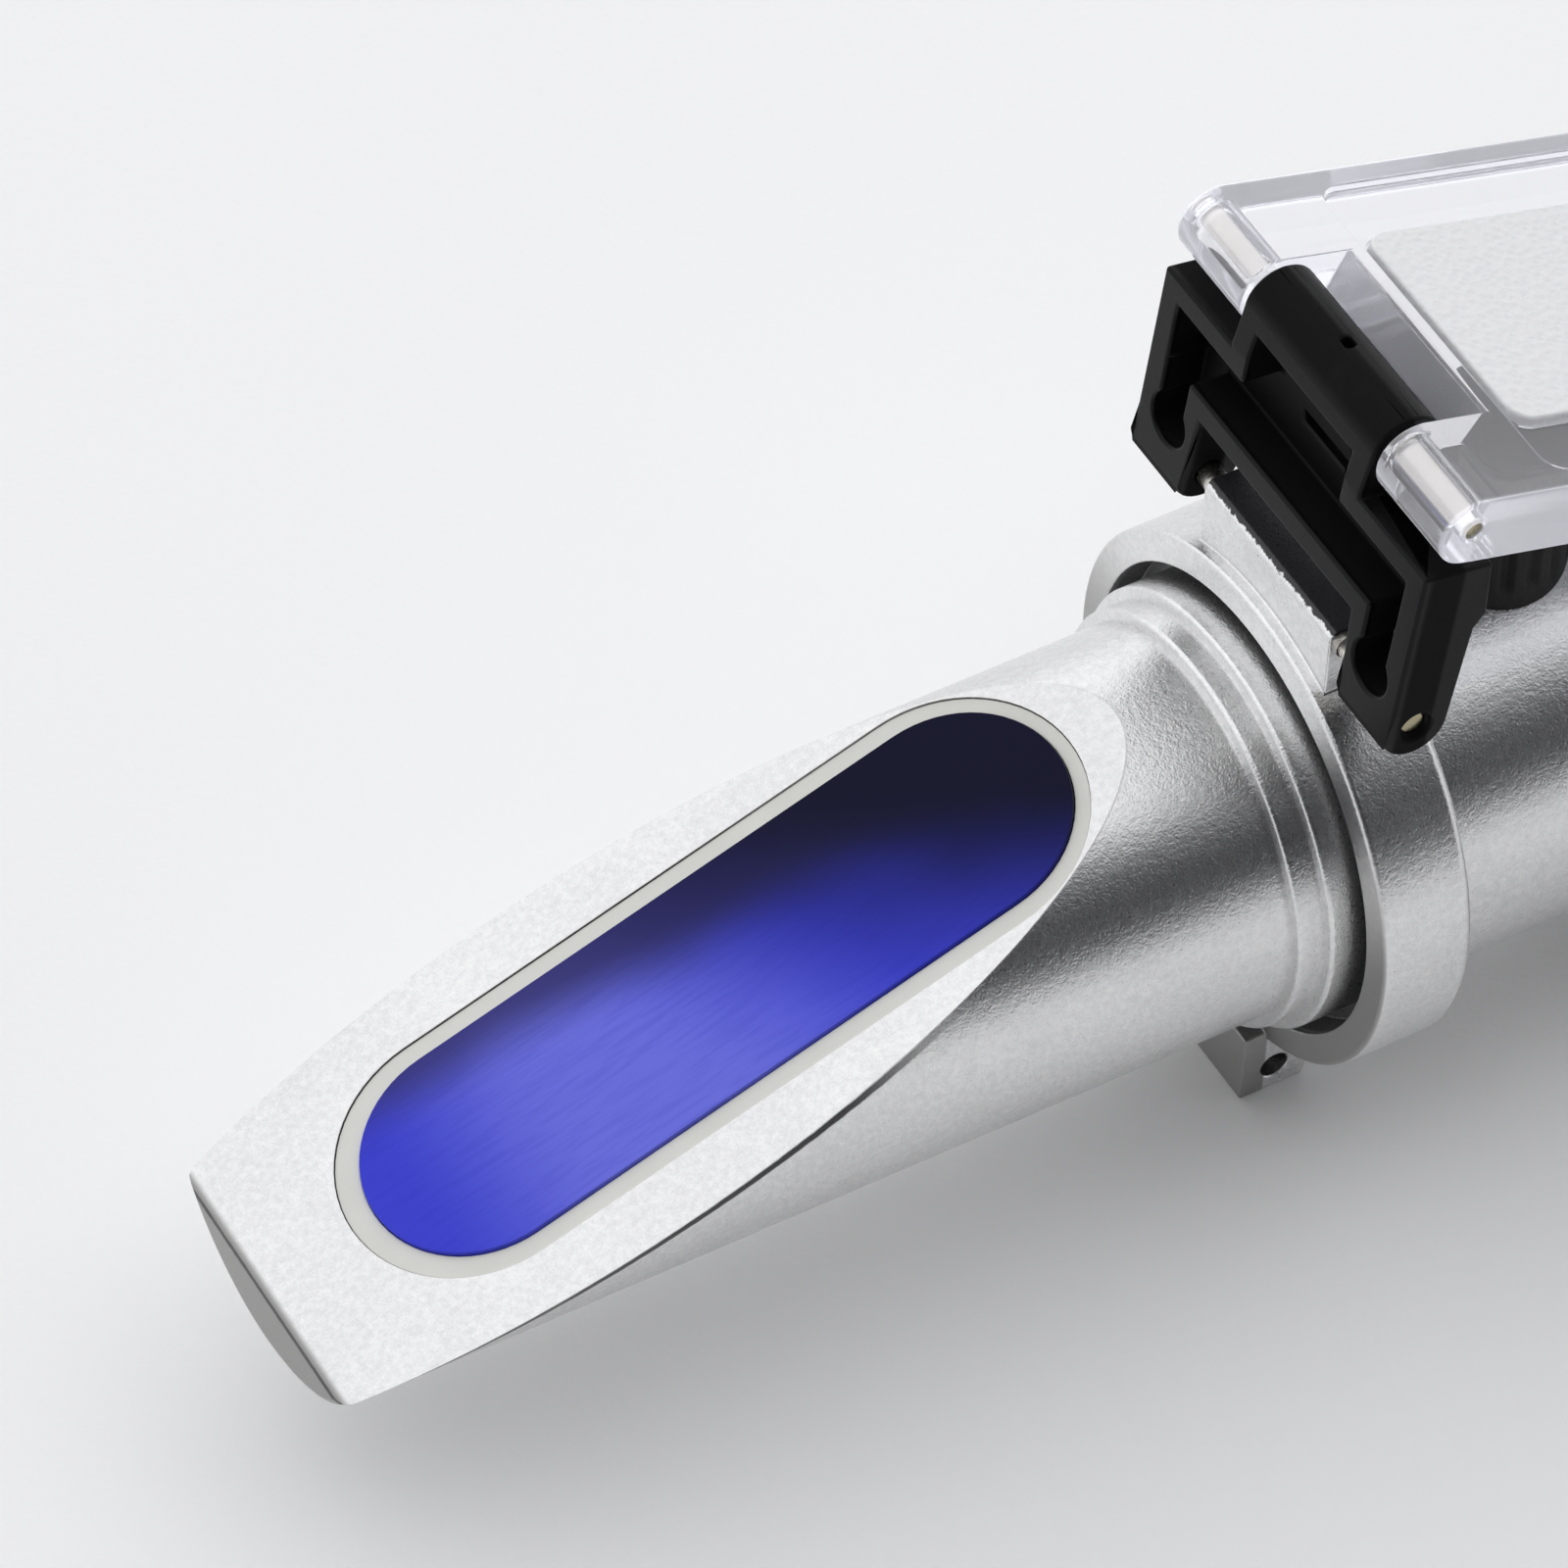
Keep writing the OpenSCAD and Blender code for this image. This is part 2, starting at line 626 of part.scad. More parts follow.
// Rubber cap pushed over the bush; its skirt follows the tube
module screw_cap() {
    color([0.06, 0.06, 0.06]) placed() difference() {
        translate([screw_x, 0, 0]) rotate_extrude()
            polygon([[0, spot_z], [cap_r, spot_z], [cap_r, cap_z - cap_wall / 2],
                [cap_r - cap_wall / 2, cap_z], [0, cap_z]]);
        translate([screw_x, 0, 0]) cylinder(r = bush_r + seat_gap, h = cap_z - cap_wall);
        for (i = [0 : cap_flutes - 1]) translate([screw_x, 0, 0]) rotate([0, 0, 360 / cap_flutes * i])
            translate([cap_r + cap_wall / 8, 0, tube_r + cap_wall]) cylinder(r = cap_wall / 2, h = cap_rise);
        bar(tube_r + seat_gap, tube_x, grip_x);
    }
}

// Drum in the tube that the calibration screw lifts and lowers
module lens_carriage() {
    color([0.12, 0.12, 0.13]) placed() difference() {
        bar(carriage_r, carriage_x, carriage_x + carriage_len);
        bar(carriage_bore / 2, carriage_x - over, carriage_x + carriage_len + over);
        block(carriage_x - over, carriage_flat, 2 * carriage_len, 2 * tube_r, tube_r);
        block(carriage_x - over, -2 * tube_r, 2 * carriage_len, 2 * tube_r, 2 * tube_r + strip_z);
        translate([screw_x, 0, 0]) cylinder(r = screw_r + run_gap, h = tube_r);
        for (y = [-1, 1]) translate([strip_x + strip_w / 2, y * strip_w / 4, -tube_r])
            cylinder(r = small_screw_r + seat_gap, h = tube_r);
    }
}

// Two-metal strip under the carriage, carrying the objective on its free end
module temperature_strip() {
    color([0.75, 0.66, 0.45]) placed() difference() {
        translate([strip_x, 0, strip_z - strip_thick]) linear_extrude(height = strip_thick)
            rounded_plate(strip_len, strip_w, strip_w / 5);
        for (p = [[strip_x + strip_w / 2, -1], [strip_x + strip_w / 2, 1], [objective_x, 0]])
            translate([p[0], p[1] * strip_w / 4, -tube_r])
                cylinder(r = small_screw_r + seat_gap, h = tube_r);
    }
}

module strip_screws() {
    color([0.7, 0.7, 0.7]) placed()
        for (p = [[strip_x + strip_w / 2, -1], [strip_x + strip_w / 2, 1], [objective_x, 0]])
            translate([p[0], p[1] * strip_w / 4, strip_z - strip_thick]) {
                translate([0, 0, -small_screw_r])
                    cylinder(r = 1.6 * small_screw_r, h = small_screw_r);
                cylinder(r = small_screw_r, h = 1.6 * small_screw_r);
            }
}

module objective_ring() {
    back = objective_x + strip_w / 2;
    front = objective_x - strip_w / 2;
    color([0.12, 0.12, 0.13]) placed() difference() {
        union() {
            ring(objective_ring_r, objective_r - chamfer * 2, front, back, chamfer);
            block(front, strip_z, strip_w, strip_w, part_gap * 4);
        }
        bar(objective_r + seat_gap, front + chamfer * 3, back + over);
        translate([objective_x, 0, -tube_r]) cylinder(r = small_screw_r + seat_gap,
            h = tube_r + strip_z + 2 * small_screw_r);
    }
}

module objective_lens() {
    color([0.75, 0.8, 0.9, 0.6]) placed()
        lens(objective_r, objective_thick, objective_x - strip_w / 2 + 3 * chamfer
            - objective_thick * lens_seat_share);
}

module light_baffle() {
    color([0.05, 0.05, 0.05]) placed()
        turned([[tube_bore / 2, baffle_x], [ring_wall, baffle_x],
            [ring_wall, baffle_x + baffle_thick], [ring_wall - baffle_thick / 2, baffle_x + baffle_thick],
            [tube_bore / 2, baffle_x + baffle_thick / 4]]);
}

// Ring in front of the socket that holds the scale disc
module reticle_holder() {
    back = socket_x - part_gap;
    color([0.12, 0.12, 0.13]) placed() difference() {
        ring(ring_wall, holder_bore, holder_x, back, chamfer);
        bar(reticle_r + seat_gap, back - reticle_thick, back + over);
    }
}

module reticle_disc() {
    color([0.8, 0.85, 0.9, 0.6]) placed()
        bar(reticle_r, socket_x - part_gap - reticle_thick + seat_gap, socket_x);
}

// Fluted rubber grip between two plain bands
module grip_sleeve() {
    band = grip_len / 12;
    color([0.07, 0.07, 0.07]) placed() difference() {
        rounded_bar(grip_r, grip_x, trim_x, 2 * chamfer);
        bar(tube_r + seat_gap, grip_x - over, trim_x + over);
        flutes(grip_flutes, grip_r + chamfer, 2 * chamfer, grip_x + band, trim_x - band);
    }
}

module trim_ring() {
    color([0.72, 0.72, 0.71]) placed() difference() {
        ring(trim_r, tube_r + seat_gap, trim_x, tube_end, chamfer);
        for (side = [0, 120, 240]) rotate([side, 0, 0]) translate([trim_x + trim_len / 2, 0, 0])
            cylinder(r = small_screw_r + seat_gap, h = 2 * tube_r);
    }
}

// Socket at the tube's rear, with a slot that keeps the glide ring from turning
module eyepiece_socket() {
    color([0.1, 0.1, 0.11]) placed() difference() {
        union() {
            bar(ring_wall, socket_x, flange_end);
            ring(trim_r - chamfer, tube_bore / 2, tube_end, flange_end, chamfer);
        }
        bar(barrel_r + run_gap, socket_x - over, flange_end + over);
        block(groove_x - focus_travel - part_gap, 0, groove_w + 2 * focus_travel + 2 * part_gap,
            key_w + 2 * run_gap, tube_r);
        for (side = [0, 120, 240]) rotate([side, 0, 0]) translate([trim_x + trim_len / 2, 0, ring_wall])
            cylinder(r = small_screw_r + seat_gap, h = 2 * chamfer, center = true);
    }
}

// Headless screws through trim ring and tube into the socket
module socket_screws() {
    color([0.7, 0.7, 0.7]) placed() for (side = [0, 120, 240]) rotate([side, 0, 0])
        translate([trim_x + trim_len / 2, 0, ring_wall - chamfer + seat_gap]) difference() {
            cylinder(r = small_screw_r, h = trim_r - ring_wall);
            translate([0, 0, trim_r - ring_wall - chamfer]) block(-small_screw_r * 2, 0,
                small_screw_r * 4, small_screw_r / 2, over);
        }
}

// Split ring in the eyepiece's groove, keyed into the socket's slot
module glide_ring() {
    color([0.8, 0.8, 0.78]) placed() difference() {
        union() {
            bar(barrel_r - seat_gap, groove_x + run_gap, groove_x + groove_w - run_gap);
            block(groove_x + run_gap, groove_r, groove_w - 2 * run_gap, key_w, key_r - groove_r);
        }
        bar(groove_r + run_gap, groove_x - over, groove_x + groove_w + over);
        block(groove_x - over, -tube_r, groove_w + 2 * over, key_w / 2, tube_r);
    }
}

// Sliding barrel, knurled focusing ring and seat of the eyecup in one
module eyepiece_body() {
    color([0.1, 0.1, 0.11]) placed() difference() {
        union() {
            turned([[0, eyepiece_x], [barrel_r - chamfer, eyepiece_x], [barrel_r, eyepiece_x + chamfer],
                [barrel_r, groove_x], [groove_r, groove_x], [groove_r, groove_x + groove_w],
                [barrel_r, groove_x + groove_w], [barrel_r, focus_x + land_w], [0, focus_x + land_w]]);
            ring(focus_ring_r, 0, focus_x, focus_end, 2 * chamfer);
            ring(cup_seat_r, 0, focus_end - land_w, body_end, chamfer);
        }
        bar(field_lens_r + seat_gap, eyepiece_x - over, stop_x);
        bar(field_lens_r - land_w, eyepiece_x, body_end);
        bar(eye_lens_r + seat_gap, stop_end, body_end + over);
        flutes(focus_flutes, focus_ring_r + chamfer / 3, 1.5 * chamfer, focus_x + 3 * chamfer,
            focus_end - 3 * chamfer);
    }
}

module field_lens() {
    color([0.75, 0.8, 0.9, 0.6]) placed()
        lens(field_lens_r, field_thick, stop_x - field_thick * (1 - lens_seat_share));
}

module lens_spacer() {
    color([0.12, 0.12, 0.13]) placed()
        ring(eye_lens_r, eye_lens_r - land_w, stop_end, eye_x + lens_seat_share * eye_thick, chamfer / 2);
}

module eye_lens() {
    color([0.75, 0.8, 0.9, 0.6]) placed() lens(eye_lens_r, eye_thick, eye_x);
}

module ocular_ring() {
    color([0.12, 0.12, 0.13]) placed()
        ring(eye_lens_r, eye_lens_r - land_w, eye_x + eye_thick * (1 - lens_seat_share),
            body_end - land_w, chamfer / 2);
}

// Folding rubber eyecup with a waist and a flared rim
module eyecup() {
    cup_len = total_len - cup_x;
    skin = cup_seat_r + seat_gap;
    rim = eyecup_r - eyecup_wall;
    waist_shares = [0.2, 0.3, 0.48, 0.72, 0.83, 0.92, 0.95];
    at = [for (share = waist_shares) cup_x + cup_len * share];
    web_x = body_end + eyecup_wall;
    color([0.06, 0.06, 0.06]) placed()
        turned([[skin, cup_x], [skin + eyecup_wall, cup_x], [skin + eyecup_wall + chamfer, cup_x + land_w],
            [skin + eyecup_wall + chamfer, at[0]], [skin + eyecup_wall, at[1]],
            [skin + eyecup_wall, at[2]], [rim - eyecup_wall / 2, at[3]],
            [eyecup_r - chamfer, at[5]], [eyecup_r, at[6]],
            [eyecup_r, total_len - chamfer], [eyecup_r - chamfer, total_len],
            [rim + chamfer, total_len], [rim, total_len - chamfer], [rim - eyecup_wall, at[4]],
            [tube_bore, web_x], [eye_lens_r - land_w, web_x],
            [eye_lens_r - land_w, body_end + seat_gap], [skin, body_end + seat_gap]]);
}

prism_holder();
measuring_prism();
prism_gasket();
front_collar();
main_tube();
hinge_bracket();
bracket_pin();
plate_pin();
daylight_plate();
diffuser_pad();
screw_bush();
calibration_screw();
screw_cap();
lens_carriage();
temperature_strip();
strip_screws();
objective_ring();
objective_lens();
light_baffle();
reticle_holder();
reticle_disc();
grip_sleeve();
trim_ring();
eyepiece_socket();
socket_screws();
glide_ring();
eyepiece_body();
field_lens();
lens_spacer();
eye_lens();
ocular_ring();
eyecup();
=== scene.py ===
# %% [markdown]
# # A hand-held refractometer
# This instrument reads the salt in a drop of water. The drop goes on the sloping blue prism at the
# nose, the clear cover plate folds down over it, and the eye looks in at the barrel's other end.
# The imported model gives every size, joint and axis. Here each visible piece is modelled again with
# soft edges and fine detail, and every surface gets its finish.

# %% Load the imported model
import math
import bmesh
import bpy
from mathutils import Matrix, Vector


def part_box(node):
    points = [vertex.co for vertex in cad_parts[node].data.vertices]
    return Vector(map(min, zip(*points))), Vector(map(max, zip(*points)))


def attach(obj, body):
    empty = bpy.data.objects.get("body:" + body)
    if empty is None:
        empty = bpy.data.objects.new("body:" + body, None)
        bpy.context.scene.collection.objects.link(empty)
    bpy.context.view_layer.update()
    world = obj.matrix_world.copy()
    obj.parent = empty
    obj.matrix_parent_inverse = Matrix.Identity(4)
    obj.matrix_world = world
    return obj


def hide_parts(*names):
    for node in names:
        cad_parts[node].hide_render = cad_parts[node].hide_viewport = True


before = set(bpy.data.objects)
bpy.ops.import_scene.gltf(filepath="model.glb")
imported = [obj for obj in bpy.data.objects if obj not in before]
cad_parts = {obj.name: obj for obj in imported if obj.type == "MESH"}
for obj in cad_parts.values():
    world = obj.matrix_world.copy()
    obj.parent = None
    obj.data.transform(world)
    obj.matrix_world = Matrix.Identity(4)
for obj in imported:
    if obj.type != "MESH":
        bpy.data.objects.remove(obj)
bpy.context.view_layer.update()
mm = 0.001

# %% [markdown]
# ## The camera and the light
# The photograph was taken from above the nose with a long lens, so the camera stands half a metre off
# and its lens is long too. Its place and aim come first, because every finish is judged through it.

# %% Camera
CAMERA_PLACE = Vector((-212.92, -253.79, 373.65)) * mm
CAMERA_AIM = Vector((0.34761, 0.56023, -0.75187)).normalized()
CAMERA_UP = Vector((0.35703, 0.66238, 0.65862))
CAMERA_LENS = 216.28

right = CAMERA_AIM.cross(CAMERA_UP).normalized()
upward = right.cross(CAMERA_AIM)
turn = Matrix((right, upward, -CAMERA_AIM)).transposed()
bpy.ops.object.camera_add(location=CAMERA_PLACE, rotation=turn.to_euler())
camera = bpy.context.object
camera.data.lens = CAMERA_LENS
camera.data.clip_start = 10 * mm
bpy.context.scene.camera = camera
bpy.context.scene.view_settings.view_transform = "Standard"
print("camera stands", round(camera.location.length, 3), "m off")


# %% [markdown]
# Shaders are graphs of nodes, and maths is hard to read as a graph. A small class wraps a number in
# the graph, so that Python's own signs add the Math nodes. One method adds all other nodes, from a
# type, its settings and what goes into its sockets.

# %% Numbers in a shader
class Number:
    """A number that changes over a surface. Python's signs on it add Math nodes."""

    def __init__(self, paint, socket):
        self.paint = paint
        self.socket = socket

    def math(self, operation, *numbers):
        return self.paint.add("ShaderNodeMath", {"operation": operation}, dict(enumerate(numbers)))

    def __add__(self, other):
        return self.math("ADD", self, other)

    __radd__ = __add__

    def __sub__(self, other):
        return self.math("SUBTRACT", self, other)

    def __rsub__(self, other):
        return self.math("SUBTRACT", other, self)

    def __mul__(self, other):
        return self.math("MULTIPLY", self, other)

    def __truediv__(self, other):
        return self.math("DIVIDE", self, other)

    def __abs__(self):
        return self.math("ABSOLUTE", self)

    def or_more(self, other):
        """The larger of two numbers."""
        return self.math("MAXIMUM", self, other)


print("numbers ready")


# %% Paint: a material and its graph
class Paint:
    """A node graph with a Principled shader at its end."""

    def __init__(self, name):
        self.material = bpy.data.materials.new(name)
        self.material.use_nodes = True
        self.graph = self.material.node_tree
        self.shader = self.graph.nodes["Principled BSDF"]
        place = self.graph.nodes.new("ShaderNodeTexCoord")
        self.place = Number(self, place.outputs["Object"])

    def fill(self, socket, value):
        """Links a number of the graph to a socket, or sets a plain value on it."""
        if isinstance(value, Number):
            self.graph.links.new(value.socket, socket)
        elif socket.type == "RGBA":
            socket.default_value = (*value, 1)
        else:
            socket.default_value = value

    def add(self, kind, settings=None, inputs=None, output=0):
        """Adds a node, then fills its settings and its sockets."""
        node = self.graph.nodes.new(kind)
        for key, value in (settings or {}).items():
            setattr(node, key, value)
        for key, value in (inputs or {}).items():
            self.fill(node.inputs[key], value)
        return Number(self, node.outputs[output])

    def noise(self, size, detail=2.0, squeeze=None, rough=0.5):
        """Soft random blotches, from 0 to 1, about as wide as size; a squeeze makes them streaks."""
        place = self.place
        if squeeze:
            place = self.add(
                "ShaderNodeVectorMath", {"operation": "MULTIPLY"}, {0: place, 1: squeeze})
        return self.add("ShaderNodeTexNoise", None, {
            "Vector": place, "Scale": 1 / size, "Detail": detail, "Roughness": rough})

    def step(self, value, low, high):
        """0 where a number is below low, 1 where it is above high, and smooth between."""
        return self.add("ShaderNodeMapRange", {"interpolation_type": "SMOOTHSTEP"}, {
            "Value": value, "From Min": low, "From Max": high})

    def along(self, direction, start=(0, 0, 0)):
        """How far a point lies from start in a direction, in metres."""
        offset = self.add("ShaderNodeVectorMath", {"operation": "SUBTRACT"}, {
            0: self.place, 1: tuple(start)})
        return self.add("ShaderNodeVectorMath", {"operation": "DOT_PRODUCT"}, {
            0: offset, 1: tuple(direction)}, "Value")

    def blend(self, share, first, second):
        """From the first colour to the second by a share."""
        return self.add("ShaderNodeMix", {"data_type": "RGBA"}, {
            0: share, 6: first, 7: second}, 2)

    def bump(self, height, depth):
        """Turns a height from 0 to 1 to a relief of that depth."""
        return self.add("ShaderNodeBump", None, {"Height": height, "Distance": depth})

    def finish(self, **sockets):
        """Fills the shader's sockets; an underscore in a name stands for a space."""
        for name, value in sockets.items():
            self.fill(self.shader.inputs[name.replace("_", " ")], value)
        return self.material


def grained(name, grain, blotch, shades, rough, depth, **sockets):
    """A finish of two close shades in soft blotches, with a fine grain in its sheen and its bump.
    Grain and blotch are sizes with their detail; rough is a base and the grain's share."""
    paint = Paint(name)
    fine = paint.noise(*grain)
    return paint.finish(
        Base_Color=paint.blend(paint.noise(*blotch), *shades),
        Roughness=rough[0] + fine * rough[1], Normal=paint.bump(fine, depth), **sockets)


print("shader tools ready")

# %% [markdown]
# The metal in the photograph is bright on top, has one dark band on the camera's side, and is bright
# again underneath. That is a white table, a wide soft light above and behind, and a dark room behind
# the camera. The same three make the light here: a pale floor, one large area light, and a sky that
# darkens towards the camera's side.

# %% Floor
FLOOR_SIZE = 6.0

bpy.ops.mesh.primitive_plane_add(size=FLOOR_SIZE)
floor = bpy.context.object
floor.name = "pale_floor"
paper = Paint("pale_paper")
mottle = paper.noise(40 * mm)
floor.data.materials.append(paper.finish(
    Base_Color=paper.blend(mottle, (0.96, 0.96, 0.96), (0.98, 0.98, 0.98)),
    Roughness=0.9, Specular_IOR_Level=0.1,
    Normal=paper.bump(paper.noise(0.4 * mm), 0.02 * mm)))
print("floor", FLOOR_SIZE, "m wide")

# %% Sky and soft light
DARK_SIDE = Vector((-0.17, -0.97, 0.14)).normalized()
LIGHT_SIDE = Vector((0.0, 0.44, 0.90)).normalized()
LIGHT_DISTANCE = 0.62
LIGHT_WIDTH = 1.7
LIGHT_HEIGHT = 1.9
LIGHT_POWER = 3.2
SKY_STOPS = ((0.38, (0.87, 0.875, 0.89, 1)), (0.70, (0.015, 0.015, 0.018, 1)))

world = bpy.data.worlds.new("studio")
bpy.context.scene.world = world
world.use_nodes = True
sky = world.node_tree
direction = sky.nodes.new("ShaderNodeTexCoord")
facing = sky.nodes.new("ShaderNodeVectorMath")
facing.operation = "DOT_PRODUCT"
facing.inputs[1].default_value = DARK_SIDE
shade = sky.nodes.new("ShaderNodeValToRGB")
shade.color_ramp.interpolation = "EASE"
for element, (position, colour) in zip(shade.color_ramp.elements, SKY_STOPS):
    element.position = position
    element.color = colour
sky.links.new(direction.outputs["Generated"], facing.inputs[0])
sky.links.new(facing.outputs["Value"], shade.inputs[0])
sky.links.new(shade.outputs[0], sky.nodes["Background"].inputs["Color"])

bpy.ops.object.light_add(type="AREA", location=LIGHT_SIDE * LIGHT_DISTANCE)
lamp = bpy.context.object
lamp.rotation_euler = LIGHT_SIDE.to_track_quat("Z", "Y").to_euler()
lamp.data.shape = "RECTANGLE"
lamp.data.size = LIGHT_WIDTH
lamp.data.size_y = LIGHT_HEIGHT
lamp.data.energy = LIGHT_POWER
lamp.visible_camera = False
print("light:", LIGHT_POWER, "W over", LIGHT_WIDTH, "by", LIGHT_HEIGHT, "m")


# %% [markdown]
# ## Modelling helpers
# An operator works on whatever is selected, so each helper first deselects all, then picks what it
# needs by its place. A finished piece has its place in its mesh, and its object stays at the origin.

# %% Select and place
def leave():
    """Object mode, with nothing selected."""
    if bpy.context.object is not None and bpy.context.object.mode != "OBJECT":
        bpy.ops.object.mode_set(mode="OBJECT")
    bpy.ops.object.select_all(action="DESELECT")


def hold(piece):
    """Makes one piece active and selected, in object mode."""
    leave()
    bpy.context.view_layer.objects.active = piece
    piece.select_set(True)


def open_up(piece):
    """Edit mode on one piece, with nothing in it selected."""
    hold(piece)
    bpy.ops.object.mode_set(mode="EDIT")
    bpy.ops.mesh.select_mode(type="VERT")
    bpy.ops.mesh.select_all(action="DESELECT")


def pick(piece, test):
    """In edit mode, selects the points whose place passes a test, and what lies between them."""
    mesh = bmesh.from_edit_mesh(piece.data)
    for point in mesh.verts:
        point.select = bool(test(point.co))
    mesh.select_flush_mode()
    mesh.select_flush(True)
    bmesh.update_edit_mesh(piece.data)


def pick_all():
    """In edit mode, selects everything."""
    bpy.ops.mesh.select_all(action="SELECT")


def slice_off(piece, place, normal):
    """Cuts off what lies beyond a plane and closes the cut. The piece stays in edit mode."""
    open_up(piece)
    pick_all()
    bpy.ops.mesh.bisect(plane_co=place, plane_no=normal, use_fill=True, clear_outer=True,
        threshold=mm / 10000)


def seat(piece, place, tilt=0.0):
    """Tilts a piece about the crosswise axis, moves it, and writes both into its mesh."""
    hold(piece)
    piece.location = place
    piece.rotation_euler = (0, math.radians(tilt), 0)
    bpy.ops.object.transform_apply()


def called(name):
    """Names the piece that an operator has just added."""
    piece = bpy.context.object
    piece.name = name
    piece.data.name = name
    bpy.ops.object.transform_apply()
    return piece


print("selection helpers ready")


# %% [markdown]
# Most of the instrument was turned on a lathe. A lathe part starts as a ring of points, which is
# drawn out step by step along the part's outline and widened or narrowed at each step. A spin would
# do as well, but an extruded ring leaves no seam to merge.

# %% Lathe
def turned(name, profile, count=160, closed=False):
    """Draws a ring of points along x through pairs of distance and radius.
    A radius of 0 closes an end to a point; closed joins the last ring to the first."""
    first = 1 if profile[0][1] == 0 else 0
    start, radius = profile[first]
    rings = profile[first:] + (profile[:1] if closed else [])
    leave()
    bpy.ops.mesh.primitive_circle_add(
        vertices=count, radius=radius, location=(start, 0, 0), rotation=(0, math.pi / 2, 0))
    piece = called(name)
    open_up(piece)
    pick_all()
    for (x0, r0), (x1, r1) in zip(rings, rings[1:]):
        bpy.ops.mesh.extrude_region_move(TRANSFORM_OT_translate={"value": (x1 - x0, 0, 0)})
        if r1 == 0:
            bpy.ops.mesh.merge(type="COLLAPSE")
        else:
            bpy.ops.transform.resize(value=(1, r1 / r0, r1 / r0), center_override=(x1, 0, 0))
    if closed:
        pick_all()
        bpy.ops.mesh.remove_doubles(threshold=mm / 1000)
    if first:
        pick(piece, lambda p: abs(p.x - start) < mm / 1000
             and abs(math.hypot(p.y, p.z) - radius) < mm / 1000)
        bpy.ops.mesh.extrude_region_move(
            TRANSFORM_OT_translate={"value": (profile[0][0] - start, 0, 0)})
        bpy.ops.mesh.merge(type="COLLAPSE")
    pick_all()
    bpy.ops.mesh.normals_make_consistent(inside=False)
    leave()
    return piece


def rod(name, start, end, radius, count=64):
    """A round bar from one point to another."""
    start, end = Vector(start), Vector(end)
    way = end - start
    leave()
    bpy.ops.mesh.primitive_cylinder_add(
        vertices=count, radius=radius, depth=way.length, location=(start + end) / 2,
        rotation=way.to_track_quat("Z", "Y").to_euler())
    return called(name)


def crossbar(name, x, z, aside, radius):
    """A round bar crosswise through x and z that reaches as far as aside on both sides."""
    return rod(name, (x, -aside, z), (x, aside, z), radius)


def eased(x, r, steps, unit=mm):
    """Points of a lathe profile, as steps away from one point in millimetres or another unit."""
    return [(x + dx * unit, r + dr * unit) for dx, dr in steps]


print("lathe ready")


# %% [markdown]
# Flat and cast parts start as an outline. A circle gets as many corners as the outline has points,
# each corner is moved to its point, and the loop is filled and extruded to its thickness.

# %% Outline
def arc(centre, radius, begin, end, steps=12):
    """Points on an arc, with angles in degrees."""
    angles = [math.radians(begin + (end - begin) * i / steps) for i in range(steps + 1)]
    return [(centre[0] + radius * math.cos(a), centre[1] + radius * math.sin(a)) for a in angles]


def outline(name, points, axis, low, high):
    """Fills an outline and draws it out along an axis. Its points are pairs in the other two axes."""
    others = [i for i in range(3) if i != axis]
    leave()
    bpy.ops.mesh.primitive_circle_add(vertices=len(points), radius=mm)
    piece = called(name)
    open_up(piece)
    mesh = bmesh.from_edit_mesh(piece.data)
    for i, (a, b) in enumerate(points):
        mesh.verts.ensure_lookup_table()
        for point in mesh.verts:
            point.select = point.index == i
        mesh.select_flush(True)
        target = [low, low, low]
        target[others[0]], target[others[1]] = a, b
        bpy.ops.transform.translate(value=Vector(target) - mesh.verts[i].co)
        mesh = bmesh.from_edit_mesh(piece.data)
    pick_all()
    bpy.ops.mesh.edge_face_add()
    way = [0, 0, 0]
    way[axis] = high - low
    bpy.ops.mesh.extrude_region_move(TRANSFORM_OT_translate={"value": way})
    pick_all()
    bpy.ops.mesh.normals_make_consistent(inside=False)
    leave()
    return piece


def oval(length, width, centre=0.0, steps=32):
    """An oval with straight sides and round ends, lengthwise along the first axis."""
    away = (length - width) / 2
    return (arc((centre + away, 0), width / 2, -90, 90, steps)
            + arc((centre - away, 0), width / 2, 90, 270, steps))


def rounded(low, high, width, radius, steps=10):
    """A rectangle with round corners, between two distances and centred across."""
    side = width / 2 - radius
    return (arc((high - radius, -side), radius, -90, 0, steps)
            + arc((high - radius, side), radius, 0, 90, steps)
            + arc((low + radius, side), radius, 90, 180, steps)
            + arc((low + radius, -side), radius, 180, 270, steps))


print("outlines ready")


# %% [markdown]
# Holes and pockets are cut by a Boolean modifier with a cutting body, as a milling cutter would, and
# lugs are joined on the same way. Real edges are never quite sharp, so a Bevel modifier breaks them,
# and shading weighted by face size keeps the flats flat.

# %% Carve and soften
def carve(piece, *tools, way="DIFFERENCE"):
    """Cuts tools out of a piece, or joins them on with way UNION, and deletes them."""
    for tool in tools:
        hold(piece)
        cut = piece.modifiers.new("carve", "BOOLEAN")
        cut.operation = way
        cut.solver = "EXACT"
        cut.object = tool
        bpy.ops.object.modifier_apply(modifier=cut.name)
        bpy.data.objects.remove(tool, do_unlink=True)


